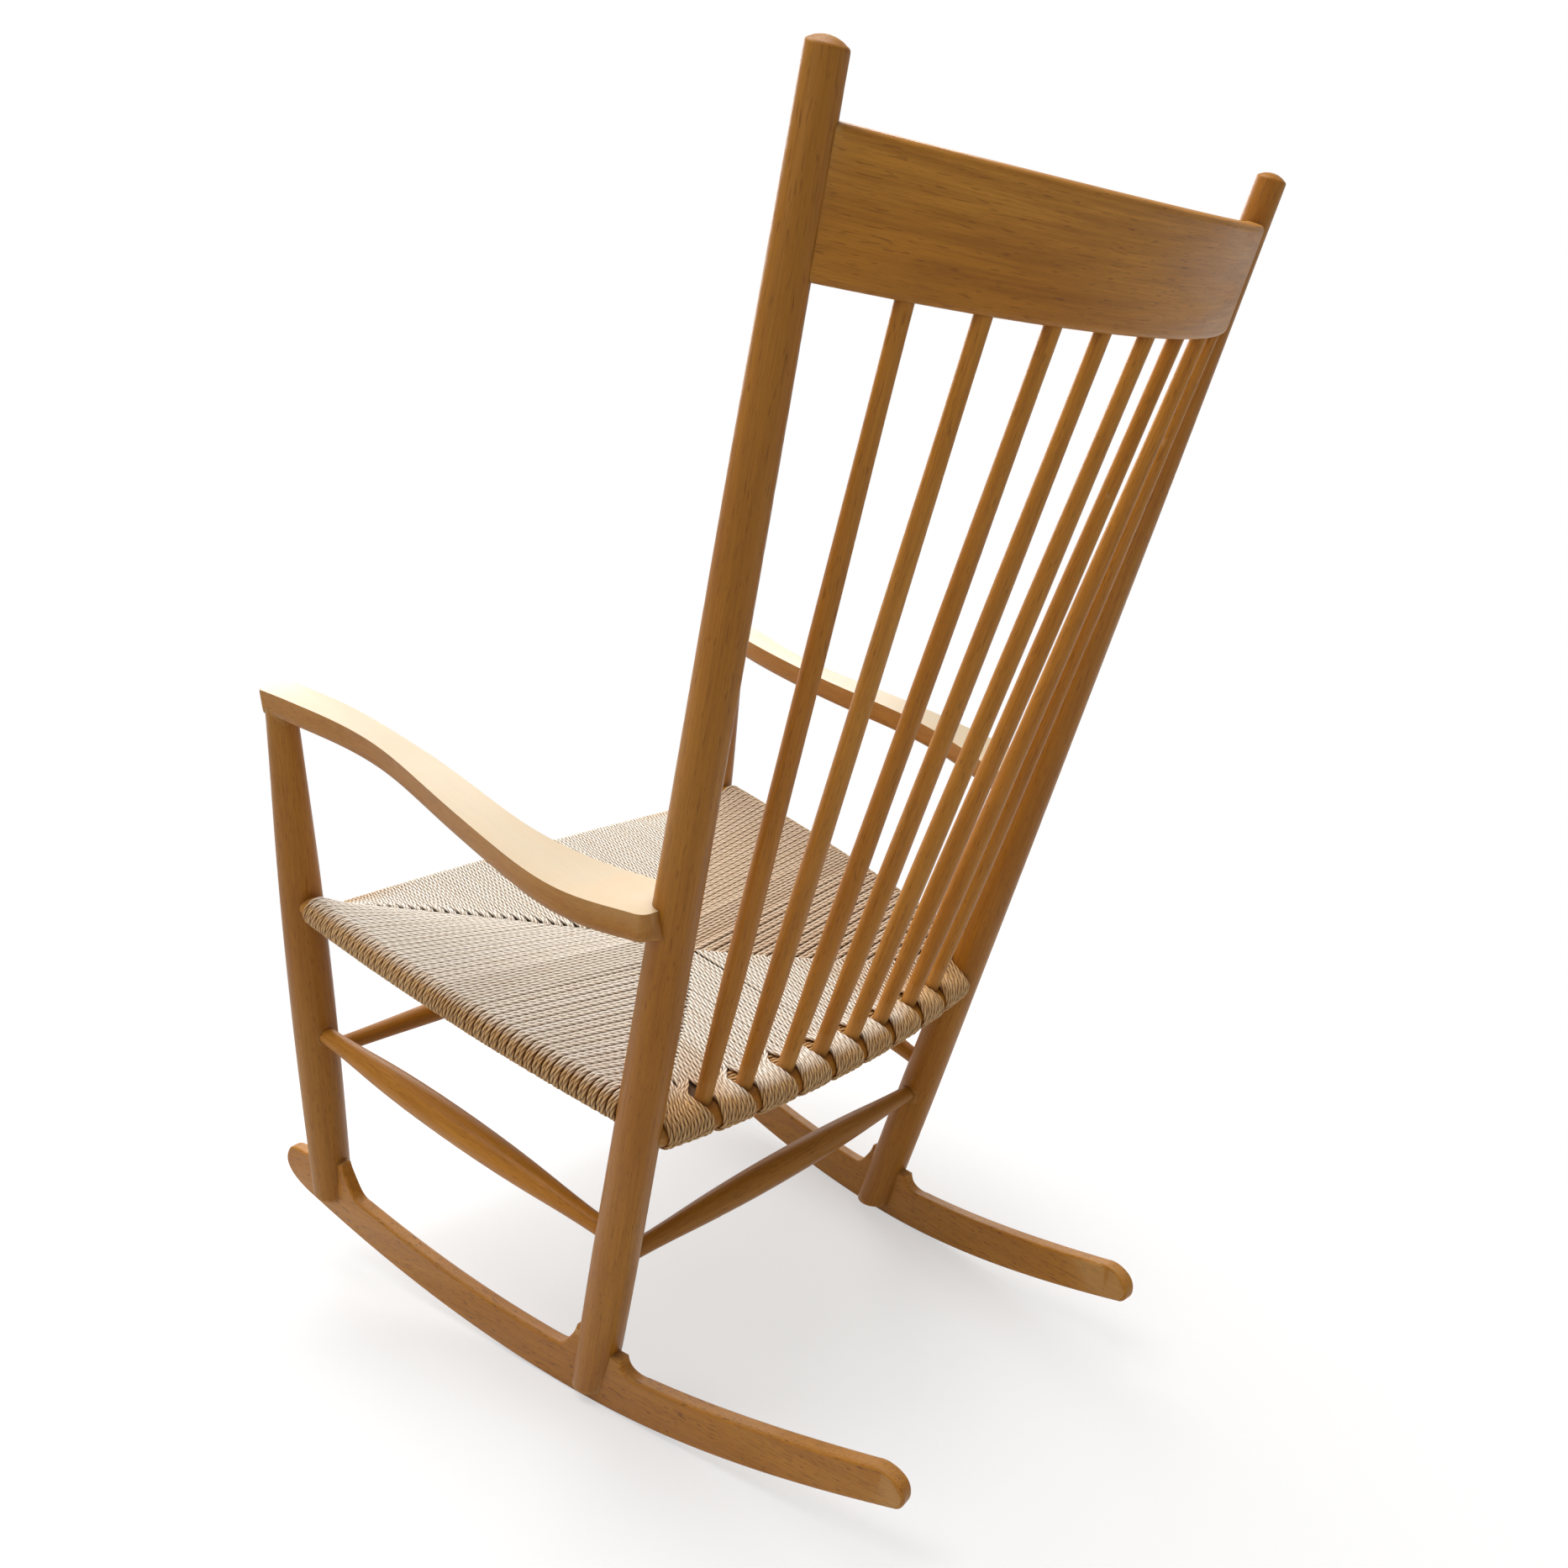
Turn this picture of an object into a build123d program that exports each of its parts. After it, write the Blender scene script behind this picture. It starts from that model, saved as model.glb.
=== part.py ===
from build123d import *
import math
import os

os.makedirs("parts", exist_ok=True)

# A tall-backed rocking chair: turned posts and stretchers, sawn rockers, shaped arms,
# a bent crest rail over eight spindles, and a seat woven in paper cord.
# Millimetres. +X is the sitter's left, -Y is the front, +Z is up, Z = 0 is the floor.
# The origin is on the floor, in the middle of the chair's width and length.

# ---------------------------------------------------------------- driving dimensions

contact_y = 7.9  # the rockers touch the floor this far behind the origin

glue_gap = 0.1  # a glued joint, all round
cord_gap = 0.3  # the woven seat, clear of the wood that it wraps
mortise_spare = 1.0  # a mortise is this much deeper than its tenon

# Rear posts: spacing between centre lines, and distance behind the contact line.
rear_foot_spacing = 422.5
rear_top_spacing = 494.0
rear_foot_back = 6.5
rear_top_back = 396.0
rear_top_height = 1070.0
rear_dome = 4.0
rim_rounding = 2.5
rear_diameters = [
    (0.0, 42.0),
    (0.10, 43.0),
    (0.20, 42.4),
    (0.30, 40.4),
    (0.45, 37.6),
    (0.65, 33.0),
    (0.80, 29.8),
    (0.90, 26.8),
    (0.98, 24.2),
    (1.0, 23.6),
]

# Front posts: they stop inside the arms' thickness.
front_foot_spacing = 525.9
front_top_spacing = 559.0
front_foot_ahead = 398.8
front_top_ahead = 274.0
front_top_height = 664.0
front_diameters = [
    (0.0, 40.0),
    (0.20, 42.4),
    (0.42, 42.8),
    (0.60, 40.6),
    (0.76, 36.2),
    (0.90, 30.4),
    (1.0, 26.8),
]

# Rockers: a radius at the contact line that eases towards straight at both ends.
rocker_front_radius = 1210.0
rocker_rear_radius = 900.0
front_easing = 900.0
rear_easing = 440.0
rocker_thickness = 14.0
rocker_height = 50.5
nose_reach = 75.2  # the nose, ahead of the front post's foot
tail_reach = 375.0  # the tail, behind the rear post's foot
rocker_offset = 5.1  # the rocker stands this far outside the rear post's centre line
rocker_edge = 3.0  # softened long edges
tail_thinning = 12.0  # the tail is this much lower than the rest
rear_cheek_lift = 14.6  # the posts' cheeks end this far above the rocker's underside
front_cheek_lift = 27.2
rear_crotch = 66.0  # from the foot to the bottom of the slot, along the post
front_crotch = 53.5
rear_ledge = 11.0  # the rocker's level shoulders stand this far out behind the posts
front_ledge = 4.5
rear_lip = 6.0  # and this far out ahead of them
front_lip = 3.5
rear_hollow_reach = 24.0  # the hollows behind the shoulders run this far along the rocker
front_hollow_reach = 26.0
sweep_reach = 48.5  # the sweep ahead of the rear post

# Crest rail: a bent board between the rear posts.
crest_drop = 100.0  # its lower edge, below the rear posts' rims
crest_width = 76.0
crest_thickness = 17.0
crest_bow = 68.5
crest_camber = 3.0
crest_edge = 4.0
crest_tongue_thickness = 8.0
crest_tongue_width = 58.0

# Seat rails: heights on the posts' centre lines.
side_rail_rear_height = 365.0
side_rail_front_height = 463.0
rear_rail_height = 339.5
front_rail_height = 430.5
side_rail_diameter = 22.6
side_rail_bow = 8.5
front_rail_diameter = 22.6
front_rail_bow = 10.5
rear_rail_width = 32.6
rear_rail_thickness = 25.2
rear_rail_bow = 22.0
rail_tenon_diameter = 15.0

# Stretchers: heights on the posts' centre lines, and diameters along the length.
side_stretcher_rear_height = 216.0
side_stretcher_front_height = 311.5
rear_stretcher_height = 186.5
front_stretcher_height = 279.0
stretcher_end_diameter = 18.0
side_stretcher_swell = 32.4
side_stretcher_swell_at = 0.48
rear_stretcher_swell = 31.0
front_stretcher_swell = 27.0

# Spindles: half spacings, from the middle of the back outwards.
spindle_foot_offsets = [21.9, 65.0, 113.0, 156.0]
spindle_top_offsets = [27.0, 75.6, 130.5, 181.5]
spindle_foot_diameter = 15.6
spindle_swell_diameter = 18.0
spindle_top_diameter = 12.0
spindle_top_tenon = 14.0
spindle_middle_diameter = 16.6
spindle_neck_diameter = 14.7
spindle_play = 0.4  # the crest rail's holes are this much wider
spindle_foot_forward = 6.5  # ahead of the rear rail's centre line

# Arms: distances from the posts' centre lines at the arm's height.
arm_front_reach = 22.5
arm_rear_reach = 0.5
arm_cover = 17.5  # the arm's top at its tip, above the front post's shoulder
arm_thickness = 24.0
arm_belly = 9.0  # the rounded part of the thickness, under the upright sides
arm_tip_radius = 21.0
arm_tip_inset = 3.0
arm_edge = 2.0  # softened edges of the arm's top
arm_corner = 11.0  # the arm's rounded corner beside the rear post
arm_stations = [
    # along the arm, fall of the top, outer edge, inner edge
    (0.00, 0.0, 297.0, 258.0),
    (0.125, 12.5, 282.3, 248.0),
    (0.265, 29.5, 268.8, 239.8),
    (0.41, 46.8, 270.3, 238.5),
    (0.55, 63.0, 278.5, 242.0),
    (0.69, 80.1, 284.5, 243.5),
    (0.83, 97.2, 285.5, 229.5),
    (0.915, 105.0, 277.5, 216.0),
    (1.00, 111.5, 262.5, 206.0),
]
arm_ear = 8.0  # the arm's inner part ends this far ahead of the rear post's centre line
arm_tenon_diameter = 16.0
arm_tenon_cover = 11.5  # wood left over the tenon
arm_dowel_diameter = 10.0
arm_dowel_length = 44.0

# Woven seat: three-ply paper cord, two layers with the pocket between them.
cord_diameter = 3.9
seat_middle_thickness = 16.0
seat_sag = 7.0
bundle_gap = 19.5  # bare rail at each spindle
bundle_gap_forward = 20.0

# ---------------------------------------------------------------- reference geometry


def rocker_rise(back):
    """Height of the rocker's underside, at a distance behind the contact line."""
    easing, radius = rear_easing, rocker_rear_radius
    if back < 0:
        easing, radius = front_easing, rocker_front_radius
    return easing**2 / radius * (math.sqrt(1 + (back / easing) ** 2) - 1)


def at_height(foot, top, height):
    """The point of a centre line at the given height."""
    share = (height - foot.Z) / (top.Z - foot.Z)
    return foot + (top - foot) * share


def on_right(point):
    """The same point on the sitter's right."""
    return Vector(-point.X, point.Y, point.Z)


rocker_front_reach = front_foot_ahead + nose_reach
rocker_rear_reach = rear_foot_back + tail_reach
crest_low_height = rear_top_height - crest_drop
rear_foot = Vector(
    rear_foot_spacing / 2,
    contact_y + rear_foot_back,
    rocker_rise(rear_foot_back) + rear_cheek_lift,
)
rear_top = Vector(rear_top_spacing / 2, contact_y + rear_top_back, rear_top_height)
front_foot = Vector(
    front_foot_spacing / 2,
    contact_y - front_foot_ahead,
    rocker_rise(-front_foot_ahead) + front_cheek_lift,
)
front_top = Vector(front_top_spacing / 2, contact_y - front_top_ahead, front_top_height)

side_rail_rear = at_height(rear_foot, rear_top, side_rail_rear_height)
side_rail_front = at_height(front_foot, front_top, side_rail_front_height)
rear_rail_end = at_height(rear_foot, rear_top, rear_rail_height)
front_rail_end = at_height(front_foot, front_top, front_rail_height)
side_stretcher_rear = at_height(rear_foot, rear_top, side_stretcher_rear_height)
side_stretcher_front = at_height(front_foot, front_top, side_stretcher_front_height)
rear_stretcher_end = at_height(rear_foot, rear_top, rear_stretcher_height)
front_stretcher_end = at_height(front_foot, front_top, front_stretcher_height)

# The seat slopes down to the back, and the back leans with the rear posts.
seat_slope = math.atan2(
    side_rail_front.Z - side_rail_rear.Z,
    side_rail_rear.Y - side_rail_front.Y,
)
seat_back = Vector(0, math.cos(seat_slope), -math.sin(seat_slope))
seat_up = Vector(0, math.sin(seat_slope), math.cos(seat_slope))
back_lean = math.atan2(rear_top.Y - rear_foot.Y, rear_top.Z - rear_foot.Z)
back_up = Vector(0, math.sin(back_lean), math.cos(back_lean))
back_rear = Vector(0, math.cos(back_lean), -math.sin(back_lean))

# ---------------------------------------------------------------- shared shapes


def turned(start, end, diameters, grow=0.0, dome=0.0):
    """A turned round piece. diameters holds pairs of a share of the length and a diameter."""
    length = (end - start).length
    direction = (end - start).normalized()
    axes = [Vector(1, 0, 0), Vector(0, 1, 0), Vector(0, 0, 1)]
    across = min(axes, key=lambda axis: abs(axis.dot(direction)))
    radial = across.cross(direction).normalized()
    points = [(diameter / 2 + grow, share * length) for share, diameter in diameters]
    rim_radius, rim_height = points[-1]
    with BuildPart() as piece:
        with BuildSketch(Plane(origin=start, x_dir=radial, z_dir=radial.cross(direction))):
            with BuildLine():
                Spline(*points)
                if dome:
                    cap_radius = (rim_radius**2 + dome**2) / (2 * dome)
                    across_cap = rim_radius / 2
                    cap_rise = math.sqrt(cap_radius**2 - across_cap**2) - cap_radius + dome
                    ThreePointArc(
                        (rim_radius, rim_height),
                        (across_cap, rim_height + cap_rise),
                        (0, rim_height + dome),
                    )
                else:
                    Line((rim_radius, rim_height), (0, rim_height))
                Polyline((0, rim_height + dome), (0, points[0][1]), points[0])
            profile_face = make_face()
            if dome:
                upper_corners = profile_face.vertices().sort_by(Axis.Y)[-2:]
                fillet(upper_corners.sort_by(Axis.X)[-1], rim_rounding)
        revolve(axis=Axis(start, direction))
    return piece.part


def curved_bar(start, middle, end, half_width, half_height):
    """A bar of oval section that follows an arc through three points."""
    with BuildPart() as bar:
        with BuildLine() as route:
            path = ThreePointArc(start, middle, end)
        tangent = path % 0
        level = tangent.cross(seat_up).normalized()
        with BuildSketch(Plane(origin=path @ 0, x_dir=level, z_dir=tangent)):
            Ellipse(half_width, half_height)
        sweep(path=route.line)
    return bar.part


def rod(start, direction, diameter, length):
    """A plain round rod from a point along a direction."""
    with BuildPart() as piece:
        with BuildSketch(Plane(origin=start, z_dir=direction)):
            Circle(diameter / 2)
        extrude(amount=length)
    return piece.part


def rear_post_blank(grow=0.0):
    return turned(rear_foot_low, rear_top, rear_diameters, grow, rear_dome)


def front_post_blank(grow=0.0):
    return turned(front_foot_low, front_top, front_diameters, grow)


# The blanks run on below the cheeks and are trimmed parallel to the rocker's underside.
foot_spare = 12.0
rear_axis = (rear_top - rear_foot).normalized()
front_axis = (front_top - front_foot).normalized()
rear_foot_low = rear_foot - rear_axis * foot_spare
front_foot_low = front_foot - front_axis * foot_spare


# ---------------------------------------------------------------- rockers

# The plank stands upright in a plane past both posts' feet, so it toes in to the rear.
rear_slot_x = rear_foot.X + rocker_offset
plank_along = Vector(rear_slot_x - front_foot.X, rear_foot.Y - front_foot.Y, 0).normalized()
plank_origin = Vector(
    rear_slot_x + plank_along.X / plank_along.Y * (contact_y - rear_foot.Y),
    contact_y,
    0,
)
plank_plane = Plane(
    origin=plank_origin,
    x_dir=plank_along,
    z_dir=plank_along.cross(Vector(0, 0, 1)),
)


def on_plank(back, height):
    """A point of the plank's own plane, from a distance behind the contact line."""
    return (back / plank_along.Y, height)


def crotch_point(foot, axis, up, out):
    """A point on the line across the bottom of a post's slot, out from its centre line."""
    lean = math.atan2(axis.Y, axis.Z)
    centre = foot + axis * up
    back = centre.Y - contact_y + out * math.cos(lean)
    return on_plank(back, centre.Z - out * math.sin(lean))


rear_radius = rear_diameters[1][1] / 2
front_radius = front_diameters[1][1] / 2


def upper_edge(back):
    """The plank's upper edge away from the posts, thinning towards the tail."""
    thinning = tail_thinning * max(0.0, back / rocker_rear_reach) ** 2
    return on_plank(back, rocker_rise(back) + rocker_height - thinning)


def outline_point(back, share):
    """A point at a distance behind the contact line, at a share of the plank's height."""
    return on_plank(back, rocker_rise(back) + share * rocker_height)


def beside(point, back, fall):
    """A point back from and below another, in shares of the plank's height."""
    return (point[0] + back * rocker_height, point[1] - fall * rocker_height)


def even_steps(first, last, count):
    """count + 1 values from first to last."""
    return [first + (last - first) * step / count for step in range(count + 1)]


front_post_back = front_foot.Y + front_axis.Y * front_crotch - contact_y
rear_post_back = rear_foot.Y + rear_axis.Y * rear_crotch - contact_y
end_length = rocker_height / 2  # the rounded ends of the plank
nose = -rocker_front_reach
tail = rocker_rear_reach
nose_low = nose + end_length * 1.35
tail_low = tail - end_length * 0.3
tail_high = tail - end_length * 1.25

with BuildPart() as rocker_left:
    with BuildSketch(plank_plane):
        with BuildLine():
            underside = even_steps(nose_low, tail_low, 14)
            Spline(*[outline_point(back, 0) for back in underside])
            # tail
            Spline(
                outline_point(tail_low, 0),
                outline_point(tail - end_length * 0.05, 0.10),
                outline_point(tail, 0.22),
                outline_point(tail - end_length * 0.10, 0.45),
                outline_point(tail - end_length * 0.50, 0.67),
                upper_edge(tail_high),
            )
            # hollow behind the rear post, up to its level shoulder
            under_rear = crotch_point(rear_foot, rear_axis, rear_crotch, rear_radius)
            shoulder = (under_rear[0] + rear_ledge, under_rear[1])
            behind_rear = rear_post_back + rear_radius + rear_ledge + rear_hollow_reach
            Spline(*[upper_edge(back) for back in even_steps(tail_high, behind_rear, 4)])
            Spline(
                upper_edge(behind_rear),
                beside(shoulder, 0.18, 0.29),
                beside(shoulder, 0.05, 0.205),
                beside(shoulder, 0.006, 0.085),
                shoulder,
            )
            # the seat of the post, square to it
            lip = crotch_point(
                rear_foot, rear_axis, rear_crotch, -rear_radius - rear_lip
            )
            Polyline(shoulder, under_rear, lip)
            # sweep down ahead of the rear post
            ahead_rear = rear_post_back - rear_radius - sweep_reach
            Spline(
                lip,
                beside(lip, -0.29, 0.43),
                beside(lip, -0.51, 0.645),
                upper_edge(ahead_rear),
                tangents=[(-0.4, -1.0), (-1.0, 0.0)],
            )
            # hollow behind the front post, up to its level shoulder
            under_front = crotch_point(front_foot, front_axis, front_crotch, front_radius)
            shoulder = (under_front[0] + front_ledge, under_front[1])
            behind_front = (
                front_post_back + front_radius + front_ledge + front_hollow_reach
            )
            Spline(*[upper_edge(back) for back in even_steps(ahead_rear, behind_front, 6)])
            Spline(
                upper_edge(behind_front),
                beside(shoulder, 0.32, 0.75),
                beside(shoulder, 0.12, 0.39),
                beside(shoulder, 0.03, 0.16),
                shoulder,
            )
            lip = crotch_point(
                front_foot, front_axis, front_crotch, -front_radius - front_lip
            )
            Polyline(shoulder, under_front, lip)
            # sweep down ahead of the front post, then the nose
            hump = outline_point(nose + end_length * 1.15, 1.06)
            Spline(
                lip,
                beside(lip, -0.15, 0.145),
                beside(lip, -0.28, 0.31),
                beside(lip, -0.42, 0.35),
                hump,
                tangents=[(-0.5, -1.0), (-1.0, 0.1)],
            )
            Spline(
                hump,
                outline_point(nose + end_length * 0.80, 0.99),
                outline_point(nose + end_length * 0.49, 0.89),
                outline_point(nose + end_length * 0.22, 0.71),
                outline_point(nose, 0.40),
                outline_point(nose + end_length * 0.09, 0.225),
                outline_point(nose + end_length * 0.49, 0.073),
                outline_point(nose_low, 0),
            )
        make_face()
    extrude(amount=rocker_thickness / 2, both=True)
    flat_faces = rocker_left.faces().sort_by(SortBy.AREA)[-2:]
    fillet(flat_faces.edges(), rocker_edge)

with BuildPart() as rocker_right:
    mirror(rocker_left.part, about=Plane.YZ)

rocker_left.part.label = "rocker_left"
rocker_right.part.label = "rocker_right"
export_step(rocker_left.part, "parts/rocker_left.step")
export_step(rocker_right.part, "parts/rocker_right.step")

# ---------------------------------------------------------------- mortise cutters


def slot_cutter(foot, axis, up, radius):
    """The slot that lets a post stand astride the rocker."""
    half_width = 2 * radius
    depth = up + foot_spare + radius
    lean = math.atan2(axis.Y, axis.Z)
    crown = [
        crotch_point(foot, axis, up + glue_gap, out) for out in (-half_width, half_width)
    ]
    fall = (depth * math.sin(lean), depth * math.cos(lean))
    lower = [(point[0] - fall[0], point[1] - fall[1]) for point in reversed(crown)]
    with BuildPart() as cutter:
        with BuildSketch(plank_plane):
            with BuildLine():
                Polyline(*crown, *lower, close=True)
            make_face()
        extrude(amount=rocker_thickness / 2 + glue_gap, both=True)
    return cutter.part


def drill(point, toward, diameter):
    """A mortise on a centre line, from just past the point and out through the surface."""
    direction = (toward - point).normalized()
    start = point - direction * mortise_spare
    return rod(start, direction, diameter + 2 * glue_gap, 2 * rear_radius)


def foot_plane(foot):
    """The cut across a post's cheeks, parallel to the rocker's underside."""
    step = 1.0
    back = foot.Y - contact_y
    rise = rocker_rise(back + step) - rocker_rise(back - step)
    return Plane(origin=foot, z_dir=Vector(0, -rise, 2 * step))


# ---------------------------------------------------------------- seat rails


def bowed(start, end, bow, outward):
    """The middle point of a rail that bows outward between two points."""
    return (start + end) * 0.5 + outward * bow


side_rail_middle = bowed(side_rail_front, side_rail_rear, side_rail_bow, Vector(1, 0, 0))
front_rail_middle = bowed(
    front_rail_end, on_right(front_rail_end), front_rail_bow, seat_back * -1
)
rear_rail_middle = bowed(rear_rail_end, on_right(rear_rail_end), rear_rail_bow, seat_back)


def side_rail_bar(diameter):
    return curved_bar(
        side_rail_front, side_rail_middle, side_rail_rear, diameter / 2, diameter / 2
    )


def front_rail_bar(diameter):
    return curved_bar(
        front_rail_end,
        front_rail_middle,
        on_right(front_rail_end),
        diameter / 2,
        diameter / 2,
    )


def rear_rail_bar(width, thickness):
    return curved_bar(
        rear_rail_end, rear_rail_middle, on_right(rear_rail_end), width / 2, thickness / 2
    )


rail_mortise_diameter = rail_tenon_diameter + 2 * glue_gap
rear_post_glued = rear_post_blank(glue_gap)
front_post_glued = front_post_blank(glue_gap)
side_tenons = side_rail_bar(rail_tenon_diameter)
side_mortises = side_rail_bar(rail_mortise_diameter)
front_tenons = front_rail_bar(rail_tenon_diameter)
front_mortises = front_rail_bar(rail_mortise_diameter)
rear_tenons = rear_rail_bar(rail_tenon_diameter, rail_tenon_diameter)
rear_mortises = rear_rail_bar(rail_mortise_diameter, rail_mortise_diameter)

with BuildPart() as seat_rail_left:
    add(side_rail_bar(side_rail_diameter))
    add(rear_post_glued, mode=Mode.SUBTRACT)
    add(front_post_glued, mode=Mode.SUBTRACT)
    add(side_tenons)

with BuildPart() as seat_rail_right:
    mirror(seat_rail_left.part, about=Plane.YZ)

with BuildPart() as seat_rail_front:
    add(front_rail_bar(front_rail_diameter))
    add(front_post_glued, mode=Mode.SUBTRACT)
    mirror(front_post_glued, about=Plane.YZ, mode=Mode.SUBTRACT)
    add(front_tenons)

# ---------------------------------------------------------------- spindles


def arc_depth(half_span, bow, offset):
    """How far a shallow arc stands out from its chord, at an offset from its middle."""
    radius = (half_span**2 + bow**2) / (2 * bow)
    return math.sqrt(radius**2 - offset**2) - (radius - bow)


crest_end = at_height(rear_foot, rear_top, crest_low_height)
crest_half_span = crest_end.X + crest_width / 2 * rear_axis.X


def rear_rail_point(offset):
    """A point on the rear rail's centre line, offset from the middle of the back."""
    depth = arc_depth(rear_rail_end.X, rear_rail_bow, offset)
    return Vector(offset, rear_rail_end.Y, rear_rail_end.Z) + seat_back * depth


def crest_point(offset):
    """A point on the crest rail's lower edge, offset from the middle of the back."""
    depth = arc_depth(crest_half_span, crest_bow, offset)
    camber = crest_camber * (1 - (offset / crest_half_span) ** 2)
    base = Vector(offset, crest_end.Y, crest_end.Z)
    return base + back_rear * depth + back_up * camber


spindle_feet = []
spindle_tops = []
for side in (1, -1):
    for foot_offset, top_offset in zip(spindle_foot_offsets, spindle_top_offsets):
        foot = rear_rail_point(side * foot_offset) - seat_back * spindle_foot_forward
        under_crest = crest_point(side * top_offset)
        rise = (under_crest - foot).normalized()
        spindle_feet.append(foot)
        spindle_tops.append(under_crest + rise * spindle_top_tenon)

spindle_diameters = [
    (0.0, spindle_foot_diameter),
    (0.04, spindle_foot_diameter),
    (0.20, spindle_swell_diameter),
    (0.45, spindle_middle_diameter),
    (0.70, spindle_neck_diameter),
    (0.92, spindle_top_diameter),
    (1.0, spindle_top_diameter),
]

# Numbered from the sitter's left to the right.
spindle_order = sorted(range(len(spindle_feet)), key=lambda index: -spindle_feet[index].X)
for number, index in enumerate(spindle_order, start=1):
    with BuildPart() as spindle:
        add(turned(spindle_feet[index], spindle_tops[index], spindle_diameters))
    name = f"spindle_{number}"
    spindle.part.label = name
    export_step(spindle.part, f"parts/{name}.step")

with BuildPart() as seat_rail_rear:
    add(rear_rail_bar(rear_rail_width, rear_rail_thickness))
    add(rear_post_glued, mode=Mode.SUBTRACT)
    mirror(rear_post_glued, about=Plane.YZ, mode=Mode.SUBTRACT)
    add(rear_tenons)
    for foot, top in zip(spindle_feet, spindle_tops):
        add(drill(foot, top, spindle_foot_diameter), mode=Mode.SUBTRACT)

# ---------------------------------------------------------------- crest rail

crest_plane = Plane(
    origin=Vector(0, crest_end.Y, crest_end.Z), x_dir=Vector(1, 0, 0), z_dir=back_up
)


def crest_board(thickness, half_span, low, high):
    """A bent board of even thickness across the back, between two levels up the lean."""
    radius = (crest_half_span**2 + crest_bow**2) / (2 * crest_bow)
    sides = []
    for out in (thickness / 2, -thickness / 2):
        depth = math.sqrt((radius + out) ** 2 - half_span**2) - (radius - crest_bow)
        sides.append((depth, crest_bow + out))
    (back_end, back_middle), (front_end, front_middle) = sides
    with BuildPart() as board:
        with BuildSketch(crest_plane.offset(low)):
            with BuildLine():
                ThreePointArc((-half_span, back_end), (0, back_middle), (half_span, back_end))
                Line((half_span, back_end), (half_span, front_end))
                ThreePointArc(
                    (half_span, front_end), (0, front_middle), (-half_span, front_end)
                )
                Line((-half_span, front_end), (-half_span, back_end))
            make_face()
        extrude(amount=high - low)
    return board.part


tongue_low = (crest_width - crest_tongue_width) / 2
tongue_high = tongue_low + crest_tongue_width
crest_tongue = crest_board(
    crest_tongue_thickness, crest_half_span, tongue_low, tongue_high
)
crest_tongue_mortise = crest_board(
    crest_tongue_thickness + 2 * glue_gap,
    crest_half_span + mortise_spare,
    tongue_low - glue_gap,
    tongue_high + glue_gap,
)

with BuildPart() as crest_rail:
    add(
        crest_board(
            crest_thickness, crest_half_span, -crest_camber, crest_width + 2 * crest_camber
        )
    )
    with BuildSketch(
        Plane(origin=crest_plane.origin, x_dir=Vector(1, 0, 0), z_dir=back_rear * -1)
    ):
        with BuildLine():
            ThreePointArc((-crest_half_span, 0), (0, crest_camber), (crest_half_span, 0))
            Line((crest_half_span, 0), (crest_half_span, crest_width))
            ThreePointArc(
                (crest_half_span, crest_width),
                (0, crest_width + crest_camber),
                (-crest_half_span, crest_width),
            )
            Line((-crest_half_span, crest_width), (-crest_half_span, 0))
        make_face()
    extrude(amount=2 * crest_bow, both=True, mode=Mode.INTERSECT)
    long_edges = crest_rail.edges().filter_by(lambda edge: edge.length > crest_half_span)
    fillet(long_edges, crest_edge)
    add(rear_post_glued, mode=Mode.SUBTRACT)
    mirror(rear_post_glued, about=Plane.YZ, mode=Mode.SUBTRACT)
    add(crest_tongue)
    for foot, top in zip(spindle_feet, spindle_tops):
        add(drill(top, foot, spindle_top_diameter + spindle_play), mode=Mode.SUBTRACT)

# ---------------------------------------------------------------- arms


def upright_plane(y):
    """A plane across the chair: local X is the chair's X and local Y is its height."""
    return Plane(origin=(0, y, 0), x_dir=(1, 0, 0), z_dir=(0, -1, 0))


def arm_section(y, top, outer, inner):
    """Across the arm: a flat top, upright sides and a rounded belly."""
    side_end = top - arm_thickness + arm_belly
    with BuildSketch(upright_plane(y)) as section:
        with BuildLine():
            Polyline((inner, side_end), (inner, top), (outer, top), (outer, side_end))
            Spline(
                (outer, side_end),
                ((outer + inner) / 2, top - arm_thickness),
                (inner, side_end),
                tangents=[(0, -1), (0, 1)],
            )
        make_face()
    return section.sketch


arm_top = front_top_height + arm_cover
arm_tail_top = arm_top - arm_stations[-1][1]
arm_tip_y = at_height(front_foot, front_top, arm_top).Y - arm_front_reach
arm_tail_y = at_height(rear_foot, rear_top, arm_tail_top).Y + arm_rear_reach
arm_length = arm_tail_y - arm_tip_y
arm_tip_x = (arm_stations[0][2] + arm_stations[0][3]) / 2 - arm_tip_inset
arm_dowel_point = at_height(rear_foot, rear_top, arm_tail_top - arm_thickness / 2)
arm_dowel_start = arm_dowel_point + Vector(0, rear_radius / 3, 0)
arm_ear_y = arm_dowel_point.Y - arm_ear

with BuildPart() as arm_blank:
    loft(
        [
            arm_section(
                arm_tip_y + share * arm_length,
                arm_top - fall,
                outer,
                inner,
            )
            for share, fall, outer, inner in arm_stations
        ]
    )
    with BuildSketch(Plane.XY):
        with Locations((arm_tip_x, arm_tip_y + arm_tip_radius)):
            Circle(arm_tip_radius)
            Rectangle(
                8 * arm_tip_radius, arm_length, align=(Align.CENTER, Align.MIN)
            )
    extrude(amount=rear_top_height, mode=Mode.INTERSECT)
    end_face = arm_blank.faces().sort_by(Axis.Y)[-1]
    fillet(end_face.edges().sort_by(Axis.X)[-1], arm_corner)
    top_face = arm_blank.faces().sort_by(Axis.Z)[-1]
    fillet(top_face.edges(), arm_edge)

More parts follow.
